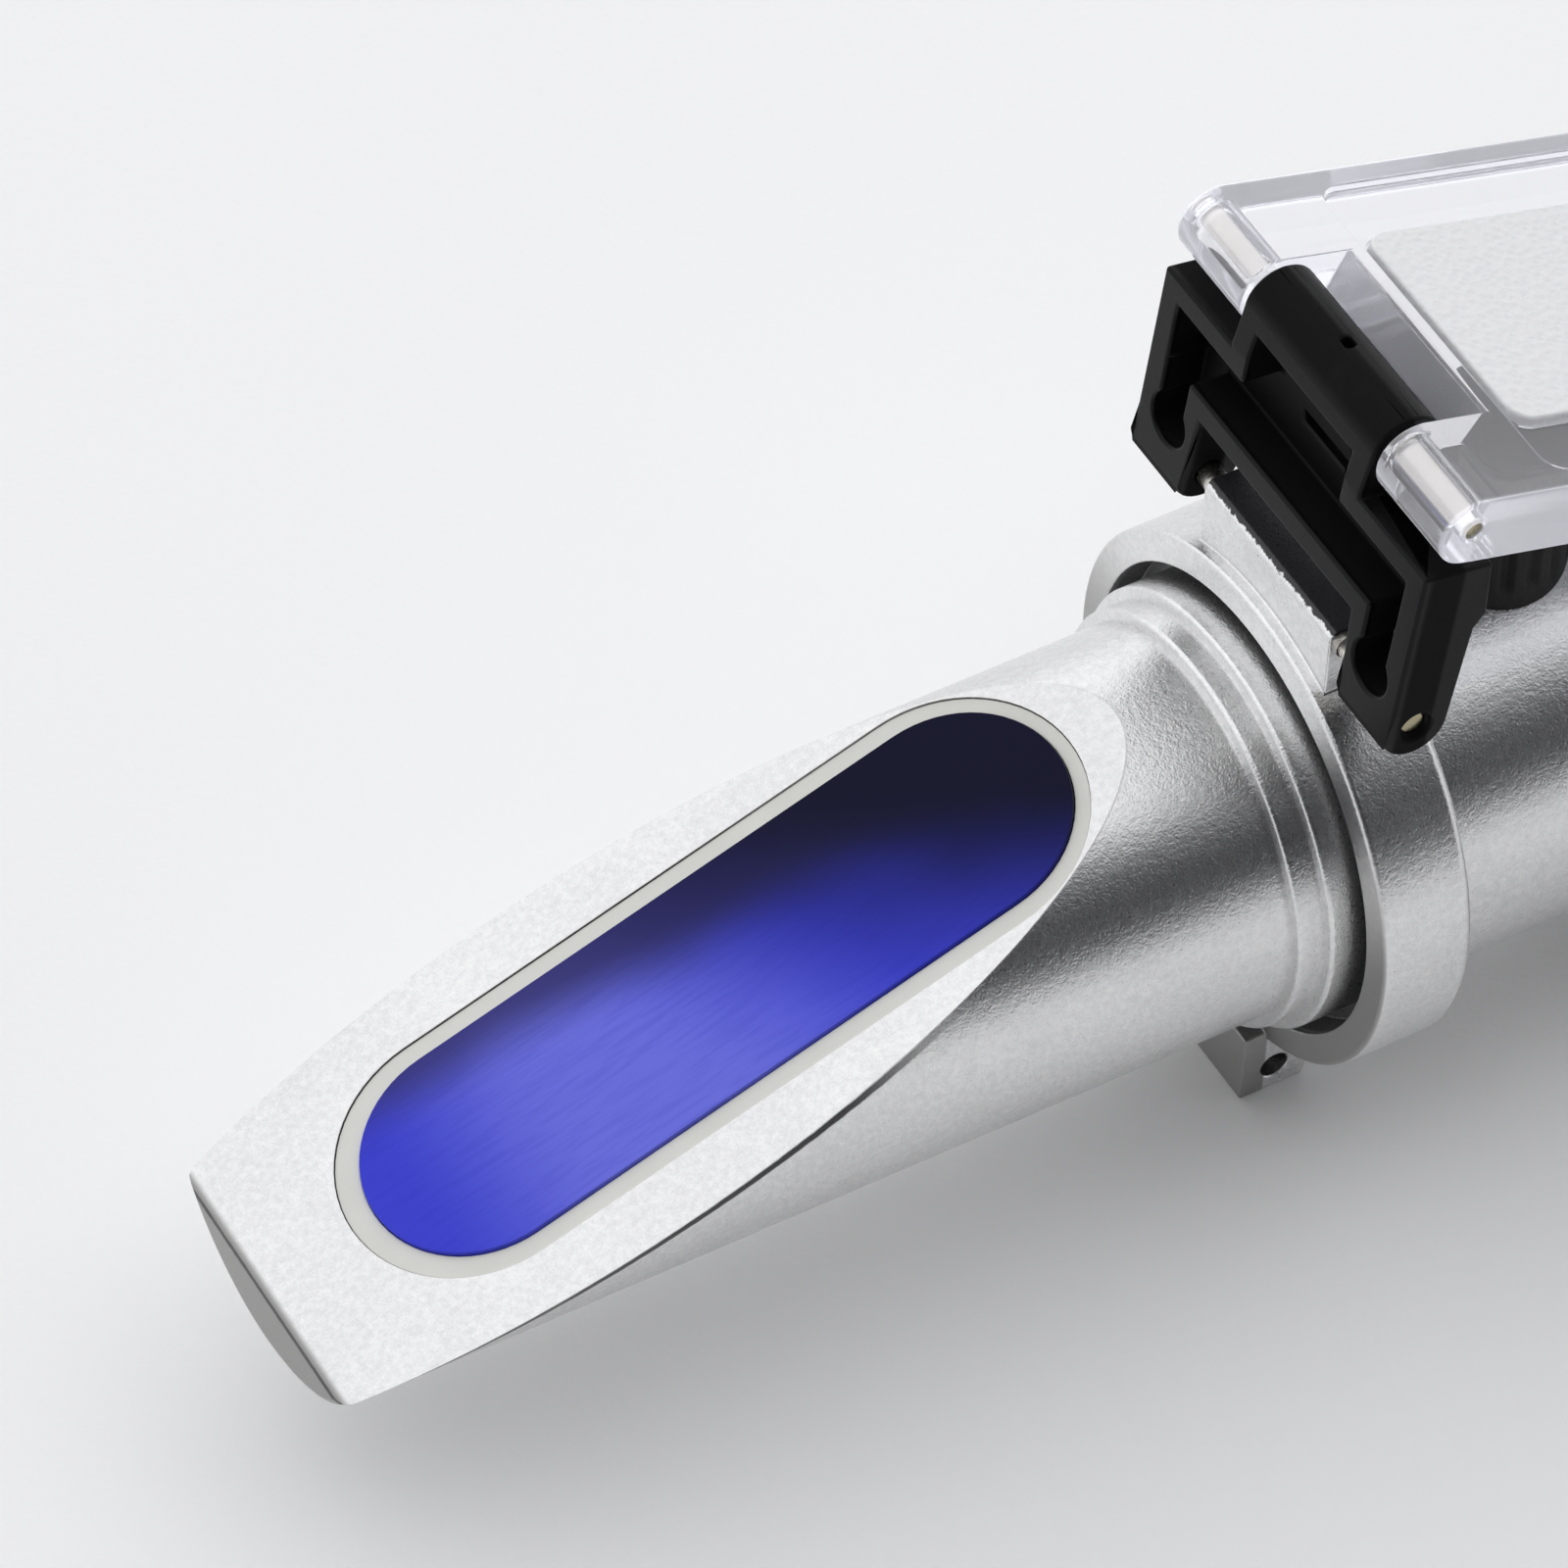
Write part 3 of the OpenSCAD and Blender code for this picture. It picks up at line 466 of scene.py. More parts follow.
def soften(piece, width, segments=3, angle=30, smooth=40):
    """Rounds the edges that are sharper than an angle, and shades the rest smooth."""
    hold(piece)
    if width:
        edge = piece.modifiers.new("soften", "BEVEL")
        edge.width = width
        edge.segments = segments
        edge.limit_method = "ANGLE"
        edge.angle_limit = math.radians(angle)
        edge.use_clamp_overlap = False
        bpy.ops.object.modifier_apply(modifier=edge.name)
    bpy.ops.object.shade_smooth_by_angle(angle=math.radians(smooth))
    flat = piece.modifiers.new("flat", "WEIGHTED_NORMAL")
    flat.keep_sharp = True
    bpy.ops.object.modifier_apply(modifier=flat.name)


def finished(piece, body, slot, material, *nodes):
    """Gives a piece its material, its body and the nodes that it stands for. The slot is not used."""
    piece.data.materials.clear()
    piece.data.materials.append(material)
    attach(piece, body)
    if nodes:
        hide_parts(*nodes)
    print(piece.name, len(piece.data.polygons), "faces on body", body)


print("carving ready")


# %% [markdown]
# ## The barrel's places
# All turned parts share one axis. Distances run from the nose tip, and the frame's boxes say where
# the tip and the axis are, so each piece is modelled at the origin and then seated there.

# %% Places from the frame
def reach(node, axis):
    """A node's lowest and highest place along an axis."""
    low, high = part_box(node)
    return low[axis], high[axis]


def middle(node, axis):
    """The middle of a node along an axis."""
    return sum(reach(node, axis)) / 2


def half(node, axis):
    """Half of a node's size along an axis."""
    low, high = reach(node, axis)
    return (high - low) / 2


def span(node):
    """Where a node begins and ends along the barrel, from the nose tip."""
    low, high = reach(node, 0)
    return low - tip_x, high - tip_x


tip_x = reach("prism_holder", 0)[0]
axis_z = middle("main_tube", 2)
BARREL = Vector((tip_x, 0, axis_z))
over = 2 * mm
wide = 30 * mm
fit = 0.03 * mm
running_fit = 0.06 * mm
nose_r = 10.55 * mm
root_r = nose_r * (1 + 1 / 90)
nose_len = 51.9 * mm
neck_rise = 0.62 * mm
neck_ring = 1.5 * mm
neck_end = 56.9 * mm
neck_r = root_r + 2 * neck_rise
spigot_r = 10 * mm
spigot_end = span("prism_holder")[1]
slope = 20.0
slope_turn = math.radians(slope)
slope_drop = 6.6 * mm
DROP = Vector((0, 0, -slope_drop))
SLOPE = BARREL + DROP
FLAT_NORMAL = Vector((-math.sin(slope_turn), 0, math.cos(slope_turn)))
print("barrel axis", round(axis_z / mm, 2), "mm over the table")

# %% [markdown]
# ## Silver finish
# The nose, collar and tube are aluminium, blasted with fine grit and anodised. The finish is a
# satin sheen with a grain that sparkles, slightly uneven in tone, with a few dark specks. The grain
# goes to the bump as well as to the roughness, because a smooth base with noise in its colour alone
# would still mirror the room.


# %% Silver material
def silver(name, painted_dull_shade=None, painted_black_shade=None, matt=None):
    """Blasted aluminium, with masks from 0 to 1 made from its place: one for a face darkened and
    dulled as painted shade, one for a face blackened as painted shade, and matt for a face blasted
    rougher."""
    paint = Paint(name)
    fine = paint.noise(0.13 * mm, rough=0.6)
    cloudy = paint.noise(7 * mm)
    dents = paint.noise(0.38 * mm, 1.0)
    specks_and_painted_shade = paint.step(paint.noise(1.3 * mm, 3.0, rough=0.75), 0.765, 0.79)
    grit = fine * 0.45 + dents * 0.35 + cloudy * 0.2
    base = paint.blend(paint.step(grit, 0.3, 0.7), (0.69, 0.69, 0.70), (0.85, 0.85, 0.845))
    rough = 0.23 + fine * 0.12
    # Painted shade: a face is darkened to grey and dulled here.
    if painted_dull_shade:
        share = painted_dull_shade(paint)
        base = paint.blend(share, base, (0.36, 0.36, 0.35))
        rough = rough + share * 0.15
    if matt:
        rough = rough + matt(paint) * 0.22
    # Painted shade is blackened in together with the real dark specks.
    if painted_black_shade:
        specks_and_painted_shade = specks_and_painted_shade.or_more(painted_black_shade(paint))
    base = paint.blend(specks_and_painted_shade, base, (0.03, 0.03, 0.033))
    return paint.finish(
        Base_Color=base, Metallic=1.0 - specks_and_painted_shade * 0.9, Roughness=rough,
        Normal=paint.bump(fine * 0.6 + dents * 0.4, 0.032 * mm))


def tip_painted_shade(paint):
    """1 on the flat end of the nose, which is darkened there as painted shade."""
    return 1 - paint.step(paint.along((1, 0, 0), BARREL), 0.02 * mm, 0.45 * mm)


def under_flat(paint):
    """How deep a point of the nose lies under its flat."""
    return paint.along(-FLAT_NORMAL, SLOPE)


def on_flat(paint):
    """1 on the flat."""
    return 1 - paint.step(under_flat(paint), 0.02 * mm, 0.06 * mm)


def rim_painted_shade(paint):
    """1 on a band just under the rim of the flat, fading out towards the neck: painted shade along the
    rounded rim.
    """
    depth = under_flat(paint) - paint.noise(0.7 * mm) * 0.1 * mm
    fade = 1 - paint.step(paint.along((1, 0, 0), BARREL), 26 * mm, 36 * mm)
    return paint.step(depth, 0.0, 0.05 * mm) * (1 - paint.step(depth, 0.36 * mm, 0.48 * mm)) * fade


satin_silver = silver("satin_silver")
print("silver ready")

# %% [markdown]
# ## Nose
# The nose is a turned bar with a flat sawn across it at 20 degrees. It is turned first, then sliced
# by a plane, which also fills the flat. The flat's rim is broken while it is still one plain face.
# Then the oval pocket for gasket and prism is milled in, and the rim is marked sharp, so that the
# flat's shading does not run over onto the round side.

# %% Oval seat sizes
prism_len = 40.4 * mm
prism_w = 12.1 * mm
prism_start = 6.6 * mm
prism_depth = 12 * mm
prism_proud = 0.15 * mm
gasket_side = 1.1 * mm
gasket_front = 1.35 * mm
gasket_rear = 0.8 * mm
gasket_sink = 0.1 * mm
gasket_thick = 1.6 * mm
prism_mid = prism_start + prism_len / 2
gasket_len = prism_len + gasket_front + gasket_rear
gasket_w = prism_w + 2 * gasket_side
gasket_mid = prism_mid + (gasket_rear - gasket_front) / 2
light_bore = 8 * mm
prism_hole = oval(prism_len + 2 * fit, prism_w + 2 * fit, prism_mid)
print("prism", prism_len / mm, "by", prism_w / mm, "mm")

# %% Turn, cut and mill the nose
def riser(start, low):
    """A square step up in the neck, with its upper edge rounded by the blasting."""
    edge = ((0.03, -0.2), (0.08, -0.08), (0.2, -0.01), (0.32, 0))
    return [(start, low), *eased(start, low + neck_rise, edge)]


def on_the_flat(point):
    """Whether a point of the nose lies in its flat."""
    return abs((point - DROP).dot(FLAT_NORMAL)) < mm / 1000


tip_round = 0.5 * mm
tip_arc = arc((tip_round, nose_r - tip_round), tip_round, 180, 90, 2)
nose = turned("nose", [(0, 0), *tip_arc, (nose_len - 2 * mm, root_r),
    *riser(nose_len, root_r), *riser(nose_len + neck_ring, root_r + neck_rise),
    (neck_end, neck_r), (neck_end, spigot_r),
    (spigot_end, spigot_r), (spigot_end, 0)], count=192)
slice_off(nose, DROP, FLAT_NORMAL)
pick(nose, on_the_flat)
bpy.ops.mesh.bevel(offset=0.18 * mm, segments=3, affect="EDGES", clamp_overlap=True)
leave()
seat_cut = outline("seat_cut", oval(gasket_len + 2 * fit, gasket_w + 2 * fit, gasket_mid),
    2, -gasket_sink - gasket_thick - fit, over)
column_cut = outline("column_cut", prism_hole, 2, -prism_depth / 2, over)
for cutter in (seat_cut, column_cut):
    seat(cutter, DROP, -slope)
bore_start = (light_bore + slope_drop + mm) / math.tan(slope_turn)
bore_cut = rod("bore_cut", (bore_start, 0, 0), (spigot_end + over, 0, 0), light_bore)
carve(nose, seat_cut, column_cut, bore_cut)
open_up(nose)
pick(nose, on_the_flat)
bpy.ops.mesh.region_to_loop()
bpy.ops.mesh.mark_sharp()
leave()
soften(nose, 0, smooth=50)
seat(nose, BARREL)
# The nose gets painted shade on its end face and along the rounded rim of its flat.
nose_silver = silver("silver_nose", painted_dull_shade=tip_painted_shade, painted_black_shade=rim_painted_shade, matt=on_flat)
finished(nose, "barrel", "satin_metal", nose_silver, "prism_holder")

# %% [markdown]
# ## Gasket
# A pale sealing ring lies round the prism, a little below the metal. An oval is drawn out to its
# thickness, the prism's hole is cut, and the edges are rounded as on a moulded part.

# %% Gasket material
waxy = {"Subsurface_Weight": 0.1, "Subsurface_Radius": (mm, mm, mm)}
pale_seal = grained("pale_seal", (0.12 * mm, 1.0), (2.5 * mm, 3.0),
    ((0.70, 0.70, 0.65), (0.78, 0.78, 0.74)), (0.5, 0.2), 0.004 * mm, **waxy)
print("seal ready")

# %% Model the gasket
gasket = outline("gasket", oval(gasket_len, gasket_w, gasket_mid),
    2, -gasket_sink - gasket_thick, -gasket_sink)
carve(gasket, outline("hole", prism_hole, 2, -gasket_thick - over, over))
soften(gasket, 0.07 * mm)
seat(gasket, SLOPE, -slope)
finished(gasket, "barrel", "pale_gasket", pale_seal, "prism_gasket")

# %% [markdown]
# ## Prism
# The prism is polished glass over a dark chamber, and it shows deep blue towards the tip. Real glass
# would need the chamber, its coating and the studio's sky to look like that, so the colour is
# painted reflection, laid over the glass as a gradient in the prism's own directions: a pale painted
# reflection a third of the way up, a navy painted dark reflection towards the hinge, faint streaks,
# and a dark painted reflection in a band along the far side that widens upwards.


# %% Prism material
def blue_glass():
    paint = Paint("blue_glass")
    up = paint.along((math.cos(slope_turn), 0, math.sin(slope_turn)), SLOPE) / mm
    across = paint.along((0, 1, 0)) / mm
    streaks = paint.noise(0.25 * mm, 2.0, (0.09, 1.0, 0.09))
    cloudy = paint.noise(6 * mm, 1.0)
    # Painted reflections: a dark one towards the hinge, a pale one a third of the way up, and a dark
    # band along the far side.
    dark_painted_reflection = paint.step(up + across * 1.27 + cloudy * 3, 24.0, 45.5)
    pale_painted_reflection = paint.step(up, 8.0, 18.0) * (1 - paint.step(up + across * 0.5, 21.0, 33.0))
    far = paint.step(across + cloudy + up * 0.12, 4.2, 8.4)
    blue = paint.blend(pale_painted_reflection, (0.052, 0.061, 0.67), (0.160, 0.175, 0.79))
    blue = paint.blend(paint.step(streaks, 0.4, 0.7) * 0.16, blue, (0.030, 0.035, 0.50))
    blue = paint.blend(far * 0.88, blue, (0.042, 0.038, 0.165))
    blue = paint.blend(dark_painted_reflection, blue, (0.008, 0.008, 0.028))
    return paint.finish(
        Base_Color=blue, Roughness=0.12 + streaks * 0.08, IOR=1.5, Specular_IOR_Level=0.05,
        Normal=paint.bump(streaks, 0.0008 * mm))


glass = blue_glass()
print(glass.name, "ready")

# %% Model the prism
prism = outline("prism", oval(prism_len, prism_w, prism_mid), 2, -prism_depth, prism_proud)
seat(prism, DROP, -slope)
prism_floor = 7 * mm
exit_land = 0.35 * mm
prism_exit = (prism_start + prism_len) * math.cos(slope_turn) + exit_land
slice_off(prism, (0, 0, -prism_floor), (0, 0, -1))
slice_off(prism, (prism_exit, 0, 0), (1, 0, 0))
soften(prism, 0.08 * mm, 2)
seat(prism, BARREL)
finished(prism, "barrel", "prism_glass", glass, "measuring_prism")

# %% [markdown]
# ## Collar
# The collar joins nose and tube. It is cast with two lugs: the upper one holds the hinge's lower
# pin, and the lower one has a hole for a wrist cord and is the foot that the nose end stands on.
# A turned body is joined with both lugs, and then the holes for the pin and the cord are bored.

# %% Collar sizes
collar_r = reach("front_collar", 1)[1]
collar_x = 54.95 * mm
collar_end = span("front_collar")[1]
collar_rim = 0.3 * mm
collar_rear_rim = 0.6 * mm
counter_r = neck_r + 0.8 * mm
tube_r = reach("main_tube", 2)[1] - axis_z
tube_x, tube_end = span("main_tube")
pivot_x = middle("bracket_pin", 0) - tip_x
pivot_z = middle("bracket_pin", 2) - axis_z
lug_pin_r = half("bracket_pin", 2)
lug_w = 11.7 * mm
lug_chamfer = 0.35 * mm
lug_land = 0.8 * mm
lug_x = pivot_x - 1.25 * mm
lug_top = pivot_z + 2 * lug_pin_r
lug_back = collar_end - 3 * collar_rear_rim
foot_w = 10.3 * mm
foot_x = collar_x - 1.25 * mm
foot_back = collar_x + 2.5 * mm
foot_z = -axis_z
foot_top = -counter_r - 0.3 * mm
COLLAR_FACE = BARREL + Vector((collar_x, 0, 0))
hole_r = 0.8 * mm
print("collar", round(2 * collar_r / mm, 2), "mm across")


# %% Masks of painted shade on the collar
def lug_top_painted_shade(paint):
    """1 on the top of the hinge lug, with a ragged edge: painted shade under the bracket's bridge."""
    ragged = paint.noise(0.5 * mm, 3.0, rough=0.7)
    height = paint.along((0, 0, 1), BARREL + Vector((0, 0, lug_top)))
    return paint.step(height + ragged * 0.45 * mm, 0.02 * mm, 0.08 * mm)


def groove_painted_shade(paint):
    """1 on the walls of the counterbore round the neck: painted shade in the recess."""
    across = paint.along((0, 1, 0), BARREL)
    rise = paint.along((0, 0, 1), BARREL)
    radius = rise.math("SQRT", across * across + rise * rise)
    depth = paint.along((1, 0, 0), COLLAR_FACE)
    inner = 1 - paint.step(radius, counter_r + 0.05 * mm, counter_r + 0.15 * mm)
    return paint.step(depth, 0.1 * mm, 0.5 * mm) * inner * 0.85


def collar_painted_shade(paint):
    """1 in both places of painted shade on the collar."""
    return lug_top_painted_shade(paint).or_more(groove_painted_shade(paint))


def front_painted_shade(paint):
    """1 on the lower half of the collar's front face and on its foot, darkest at the bottom: painted
    shade.
    """
    depth = paint.along((1, 0, 0), COLLAR_FACE)
    rise = paint.along((0, 0, 1), BARREL)
    return (1 - paint.step(depth, 0.05 * mm, 0.2 * mm)) * (1 - paint.step(rise, 0, 10 * mm)) * 0.9


# The collar gets painted shade on its lower front, on the lug's top and in the counterbore.
silver_collar = silver("silver_collar", painted_dull_shade=front_painted_shade, painted_black_shade=collar_painted_shade)
print(silver_collar.name, "ready")

# %% Model the collar
front_rim = arc((collar_x + collar_rim, collar_r - collar_rim), collar_rim, 180, 90, 8)
rear_rim = arc(
    (collar_end - collar_rear_rim, collar_r - collar_rear_rim), collar_rear_rim, 90, 0, 6)
collar = turned("collar", [(collar_x, counter_r), *front_rim, *rear_rim, (collar_end, tube_r + fit),
    (tube_x - fit, tube_r + fit), (tube_x - fit, spigot_r + fit), (neck_end, spigot_r + fit),
    (neck_end, counter_r)], count=192, closed=True)
lug = outline("lug", [(lug_x, neck_r), (lug_x, lug_top - lug_chamfer), (lug_x + lug_chamfer, lug_top),
    (pivot_x + lug_land, lug_top), (lug_back, collar_r - lug_chamfer), (lug_back, neck_r)],
    1, -lug_w / 2, lug_w / 2)
carve(lug, rod("saddle", (0, 0, 0), (collar_end + wide, 0, 0), (counter_r + collar_r) / 2, 100))
foot = outline("foot", [(foot_x, foot_z), (foot_x, foot_top), (lug_back, foot_top),
    (lug_back, -collar_r), (foot_back, foot_z)], 1, -foot_w / 2, foot_w / 2)
carve(collar, lug, foot, way="UNION")
carve(collar, crossbar("pin_bore", pivot_x, pivot_z, wide, lug_pin_r + fit),
    crossbar("cord_hole", foot_x + 2.5 * hole_r, foot_z + 2 * hole_r, wide, hole_r))
soften(collar, 0.12 * mm)
seat(collar, BARREL)
finished(collar, "barrel", "satin_metal", silver_collar, "front_collar")

# %% [markdown]
# ## Tube and trim ring
# The main tube is a turned part in plain silver. The trim ring behind the grip covers the joint to
# the eyepiece's socket, and has holes for the three locking screws.

# %% Model the tube and the trim ring
tube_wall = 1.4 * mm
tube_bore = tube_r - tube_wall
tube = turned("tube", [(tube_x, tube_bore), (tube_x, tube_r), (tube_end, tube_r),
    (tube_end, tube_bore)], closed=True)
soften(tube, 0.15 * mm)
seat(tube, BARREL)
finished(tube, "barrel", "satin_metal", satin_silver, "main_tube")

trim_x = span("trim_ring")[0]
trim_r = reach("trim_ring", 1)[1]
trim_mid = (trim_x + tube_end) / 2
trim = turned("trim", [(trim_x, tube_r + fit), (trim_x, trim_r), (tube_end, trim_r),
    (tube_end, tube_r + fit)], closed=True)
screws = 3
screw_hole_r = span("socket_screws")[1] - trim_mid + fit
hub = Vector((trim_mid, 0, 0))
for number in range(screws):
    angle = number * math.tau / screws
    outward = Vector((0, -math.sin(angle), math.cos(angle)))
    carve(trim, rod("screw_hole", hub + outward * spigot_r, hub + outward * 2 * trim_r,
        screw_hole_r, 48))
soften(trim, 0.3 * mm, 3, 50)
seat(trim, BARREL)
finished(trim, "barrel", "satin_metal", satin_silver, "trim_ring")

# %% [markdown]
# ## Hinge bracket
# The bracket is the black link between the collar and the plate. It is die-cast: two arms and broad
# shoulders round a hollow face, with a round knuckle in the middle for the plate's pin. Its side
# outline is drawn out to the full width, the knuckle is joined on, the window between the arms and
# the pockets of the face are cut, and small bevels round the edges as on a casting.

# %% Bracket sizes, from the lug pin up
lean = 6.0
bracket_w = reach("hinge_bracket", 1)[1] * 2
face = -1.6 * mm
arm_back = 2.0 * mm
foot_round = 1.825 * mm
draft = 0.35 * mm
ease = 0.3 * mm
knee = 0.15 * mm
COVER_PIN = Vector((middle("plate_pin", 0), 0, middle("plate_pin", 2)))
cover_pin_r = half("plate_pin", 2)
PIVOT = BARREL + Vector((pivot_x, 0, pivot_z))
link = Matrix.Rotation(math.radians(-lean), 3, "Y") @ (COVER_PIN - PIVOT)
knuckle_x, knuckle_z = link.x, link.z
knuckle_r = reach("hinge_bracket", 2)[1] - COVER_PIN.z
knuckle_w = 11.7 * mm
shoulder_drop = 0.45 * mm
shoulder_top = knuckle_z - knuckle_r - shoulder_drop
shoulder_back = 2.7 * mm
window_top = 4.3 * mm
bridge_top = 5.8 * mm
core_top = 9.2 * mm
throat_top = 11.3 * mm
core_wall = 1.5 * mm
core_depth = 2.4 * mm
channel_w = 2.1 * mm
bulb_r = 1.45 * mm
bulb_z = 2.4 * mm
bulb_mouth = 46
sink_r = lug_pin_r + 0.175 * mm
set_hole_r = 0.36 * mm
arm_w = 4.55 * mm
bulb_y = bracket_w / 2 - core_wall - channel_w / 2
slot_z = (bridge_top + core_top + cover_pin_r) / 2
window_w = bracket_w - 2 * arm_w
throat_w = knuckle_w - 2 * core_wall
print("plate pin", round(knuckle_z / mm, 2), "mm over the lug pin and",
    round(knuckle_x / mm, 2), "mm behind it")


# %% Black paint
def cast_black():
    paint = Paint("cast_black")
    turn = math.radians(lean)
    depth = paint.along((math.cos(turn), 0, -math.sin(turn)), PIVOT + Vector((face, 0, 0)))
    inside = paint.step(depth, 0.2 * mm, 0.6 * mm) * (1 - paint.step(depth, 2.2 * mm, 2.5 * mm))
    peel = paint.noise(0.5 * mm)
    fine = paint.noise(0.09 * mm, 1.0)
    rubbed = paint.step(paint.noise(3.0 * mm, 3.0, rough=0.6), 0.58, 0.74)
    base = paint.blend(rubbed, (0.0035, 0.0035, 0.004), (0.008, 0.008, 0.009))
    return paint.finish(
        Base_Color=base, Roughness=0.34 + fine * 0.12 + rubbed * 0.08 + inside * 0.4,
        Specular_IOR_Level=0.14, Normal=paint.bump(peel * 0.75 + fine * 0.25, 0.008 * mm))


black = cast_black()
print(black.name, "ready")


# %% Model the bracket
def block(name, aside, low, high, start, end):
    """A box as wide as twice aside, between two heights and two places along the barrel."""
    return outline(name, [(-aside, low), (aside, low), (aside, high), (-aside, high)], 0, start, end)


side = [(face, 0), (face, shoulder_top), (shoulder_back - draft, shoulder_top - ease),
    (shoulder_back, bridge_top + channel_w / 2), (arm_back + knee, bridge_top + knee),
    (foot_round, 0), *arc((0, 0), foot_round, -8, -151, 14), (face, -foot_round / 2)]
bracket = outline("hinge_link", side, 1, -bracket_w / 2, bracket_w / 2)
column = outline("column", [(face, window_top), (face, shoulder_top + ease),
    (knuckle_x - knuckle_r, knuckle_z), *arc((knuckle_x, knuckle_z), knuckle_r, 172, 8, 96),
    (knuckle_x + knuckle_r, knuckle_z), (knuckle_x + knuckle_r - draft, shoulder_top),
    (arm_back, window_top)], 1, -knuckle_w / 2, knuckle_w / 2)
carve(bracket, column, way="UNION")
window = outline("window", [
    (-window_w / 2 - draft, -window_top), (window_w / 2 + draft, -window_top),
    (window_w / 2 - draft, window_top), (-window_w / 2 + draft, window_top)], 0, -wide, wide)
floor_x = face + core_depth
wide_core = bracket_w / 2 - core_wall
core = [(-wide_core, bridge_top), (wide_core, bridge_top), (wide_core, core_top),
    (throat_w / 2, core_top), (throat_w / 2, throat_top), (-throat_w / 2, throat_top),
    (-throat_w / 2, core_top), (-wide_core, core_top)]
cuts = [window, outline("core", core, 0, face - over, floor_x)]
channel = [(bulb_y + channel_w / 2, core_top - mm), (bulb_y - channel_w / 2, core_top - mm),
    *arc((bulb_y, bulb_z), bulb_r, 180 - bulb_mouth, 360 + bulb_mouth, 24)]
for way in (-1, 1):
    cuts.append(outline("channel", [(way * y, z) for y, z in channel], 0, face - over, floor_x))
cuts.append(block("throat", throat_w / 2, throat_top - mm, knuckle_z - cover_pin_r,
    face - over, face + core_depth / 2))
cuts.append(block("slot", throat_w / 4, slot_z, slot_z + cover_pin_r, 0, wide))
for way in (-1, 1):
    cuts.append(rod("sink", (0, way * (bracket_w / 2 - core_wall / 4), 0), (0, way * wide, 0), sink_r))
cuts.append(crossbar("lug_pin_bore", 0, 0, wide, lug_pin_r + running_fit))
cuts.append(crossbar("cover_pin_bore", knuckle_x, knuckle_z, wide, cover_pin_r + fit))
cuts.append(rod("set_hole", (knuckle_x, 0, knuckle_z), (knuckle_x, 0, knuckle_z + wide),
    set_hole_r, 32))
carve(bracket, *cuts)
soften(bracket, 0.2 * mm)
seat(bracket, PIVOT, lean)
finished(bracket, "bracket", "black_paint", black, "hinge_bracket")

# %% [markdown]
# ## Pins
# Both pins are ground steel with rounded ends. The finish keeps faint rings round the pin from the
# grinding, made by noise that is squeezed along the pin's length.


# %% Steel material
def ground_steel(name, tip):
    """Bright steel for a pin whose tips lie so far aside, with its end faces darker and yellowish as
    painted shade.
    """
    paint = Paint(name)
    rings = paint.noise(0.05 * mm, 2.0, (0.05, 1.0, 0.05))
    cloudy = paint.noise(1.5 * mm)
    aside = abs(paint.along((0, 1, 0)))
    base = paint.blend(cloudy, (0.80, 0.76, 0.68), (0.94, 0.92, 0.87))
    # Painted shade: the end faces are darkened to a yellowish grey.
    ends = paint.step(aside, tip - 0.1 * mm, tip - 0.02 * mm)
    return paint.finish(
        Base_Color=paint.blend(ends, base, (0.42, 0.38, 0.25)), Metallic=1.0,
        Roughness=0.16 + rings * 0.16, Normal=paint.bump(rings, 0.0006 * mm))


print("steel ready")

# %% Model the pins
pin_half = reach("bracket_pin", 1)[1]
cover_half = reach("plate_pin", 1)[1]
steel = ground_steel("ground_steel", cover_half)
lug_pin = crossbar("lug_pin", PIVOT.x, PIVOT.z, pin_half, lug_pin_r)
soften(lug_pin, 0.15 * mm)
finished(lug_pin, "barrel", "pin_steel", ground_steel("shade_ended_steel", pin_half), "bracket_pin")
cover_pin = crossbar("cover_pin", COVER_PIN.x, COVER_PIN.z, cover_half, cover_pin_r)
soften(cover_pin, 0.15 * mm)
finished(cover_pin, "bracket", "pin_steel", steel, "plate_pin")

# %% [markdown]
# ## Cover plate
# The plate is clear acrylic with two clear knuckles on its pin, a raised rim and a sunken face. A
# grained white pad is let into the face and presses the drop flat. The plate's side outline, round
# at the pin, is drawn out across and trimmed to its plan. A notch then leaves the two knuckles, and
# the face, the pad's pocket and the bores are cut.


# %% Clear and frosted plastics
def clear_acrylic(width):
    """Acrylic gathers light and gives it off at its long edges; here that is painted light, a faint
    emission along those edges.
    """
    paint = Paint("clear_acrylic_look")
    aside = abs(paint.along((0, 1, 0)))
    # Painted light: the long edges shine faintly by emission, though the plate is no lamp.
    edges = paint.step(aside, width / 2 - 0.3 * mm, width / 2 - 0.05 * mm)
    cloudy = paint.noise(4 * mm)
    scuffs = paint.step(paint.noise(0.5 * mm, 3.0, rough=0.7), 0.55, 0.78)
    return paint.finish(
        Base_Color=paint.blend(cloudy, (0.95, 0.95, 0.99), (0.98, 0.98, 1.0)),
        Roughness=0.02 + scuffs * 0.10, IOR=1.42, Transmission_Weight=0.88,
        Emission_Color=paint.blend(edges, (0, 0, 0), (0.90, 0.90, 1.0)), Emission_Strength=0.28,
        Normal=paint.bump(scuffs, 0.0005 * mm))


def leather_white():
    paint = Paint("leather_white")
    cells = paint.add("ShaderNodeTexVoronoi", {"feature": "SMOOTH_F1"}, {
        "Vector": paint.place, "Scale": 1 / (0.45 * mm), "Smoothness": 0.5})
    fine = paint.noise(0.2 * mm)
    height = cells * 0.7 + fine * 0.3
    return paint.finish(
        Base_Color=paint.blend(height, (0.80, 0.80, 0.82), (0.86, 0.86, 0.86)),
        Roughness=0.5 + fine * 0.2, Specular_IOR_Level=0.3, Normal=paint.bump(height, 0.07 * mm))


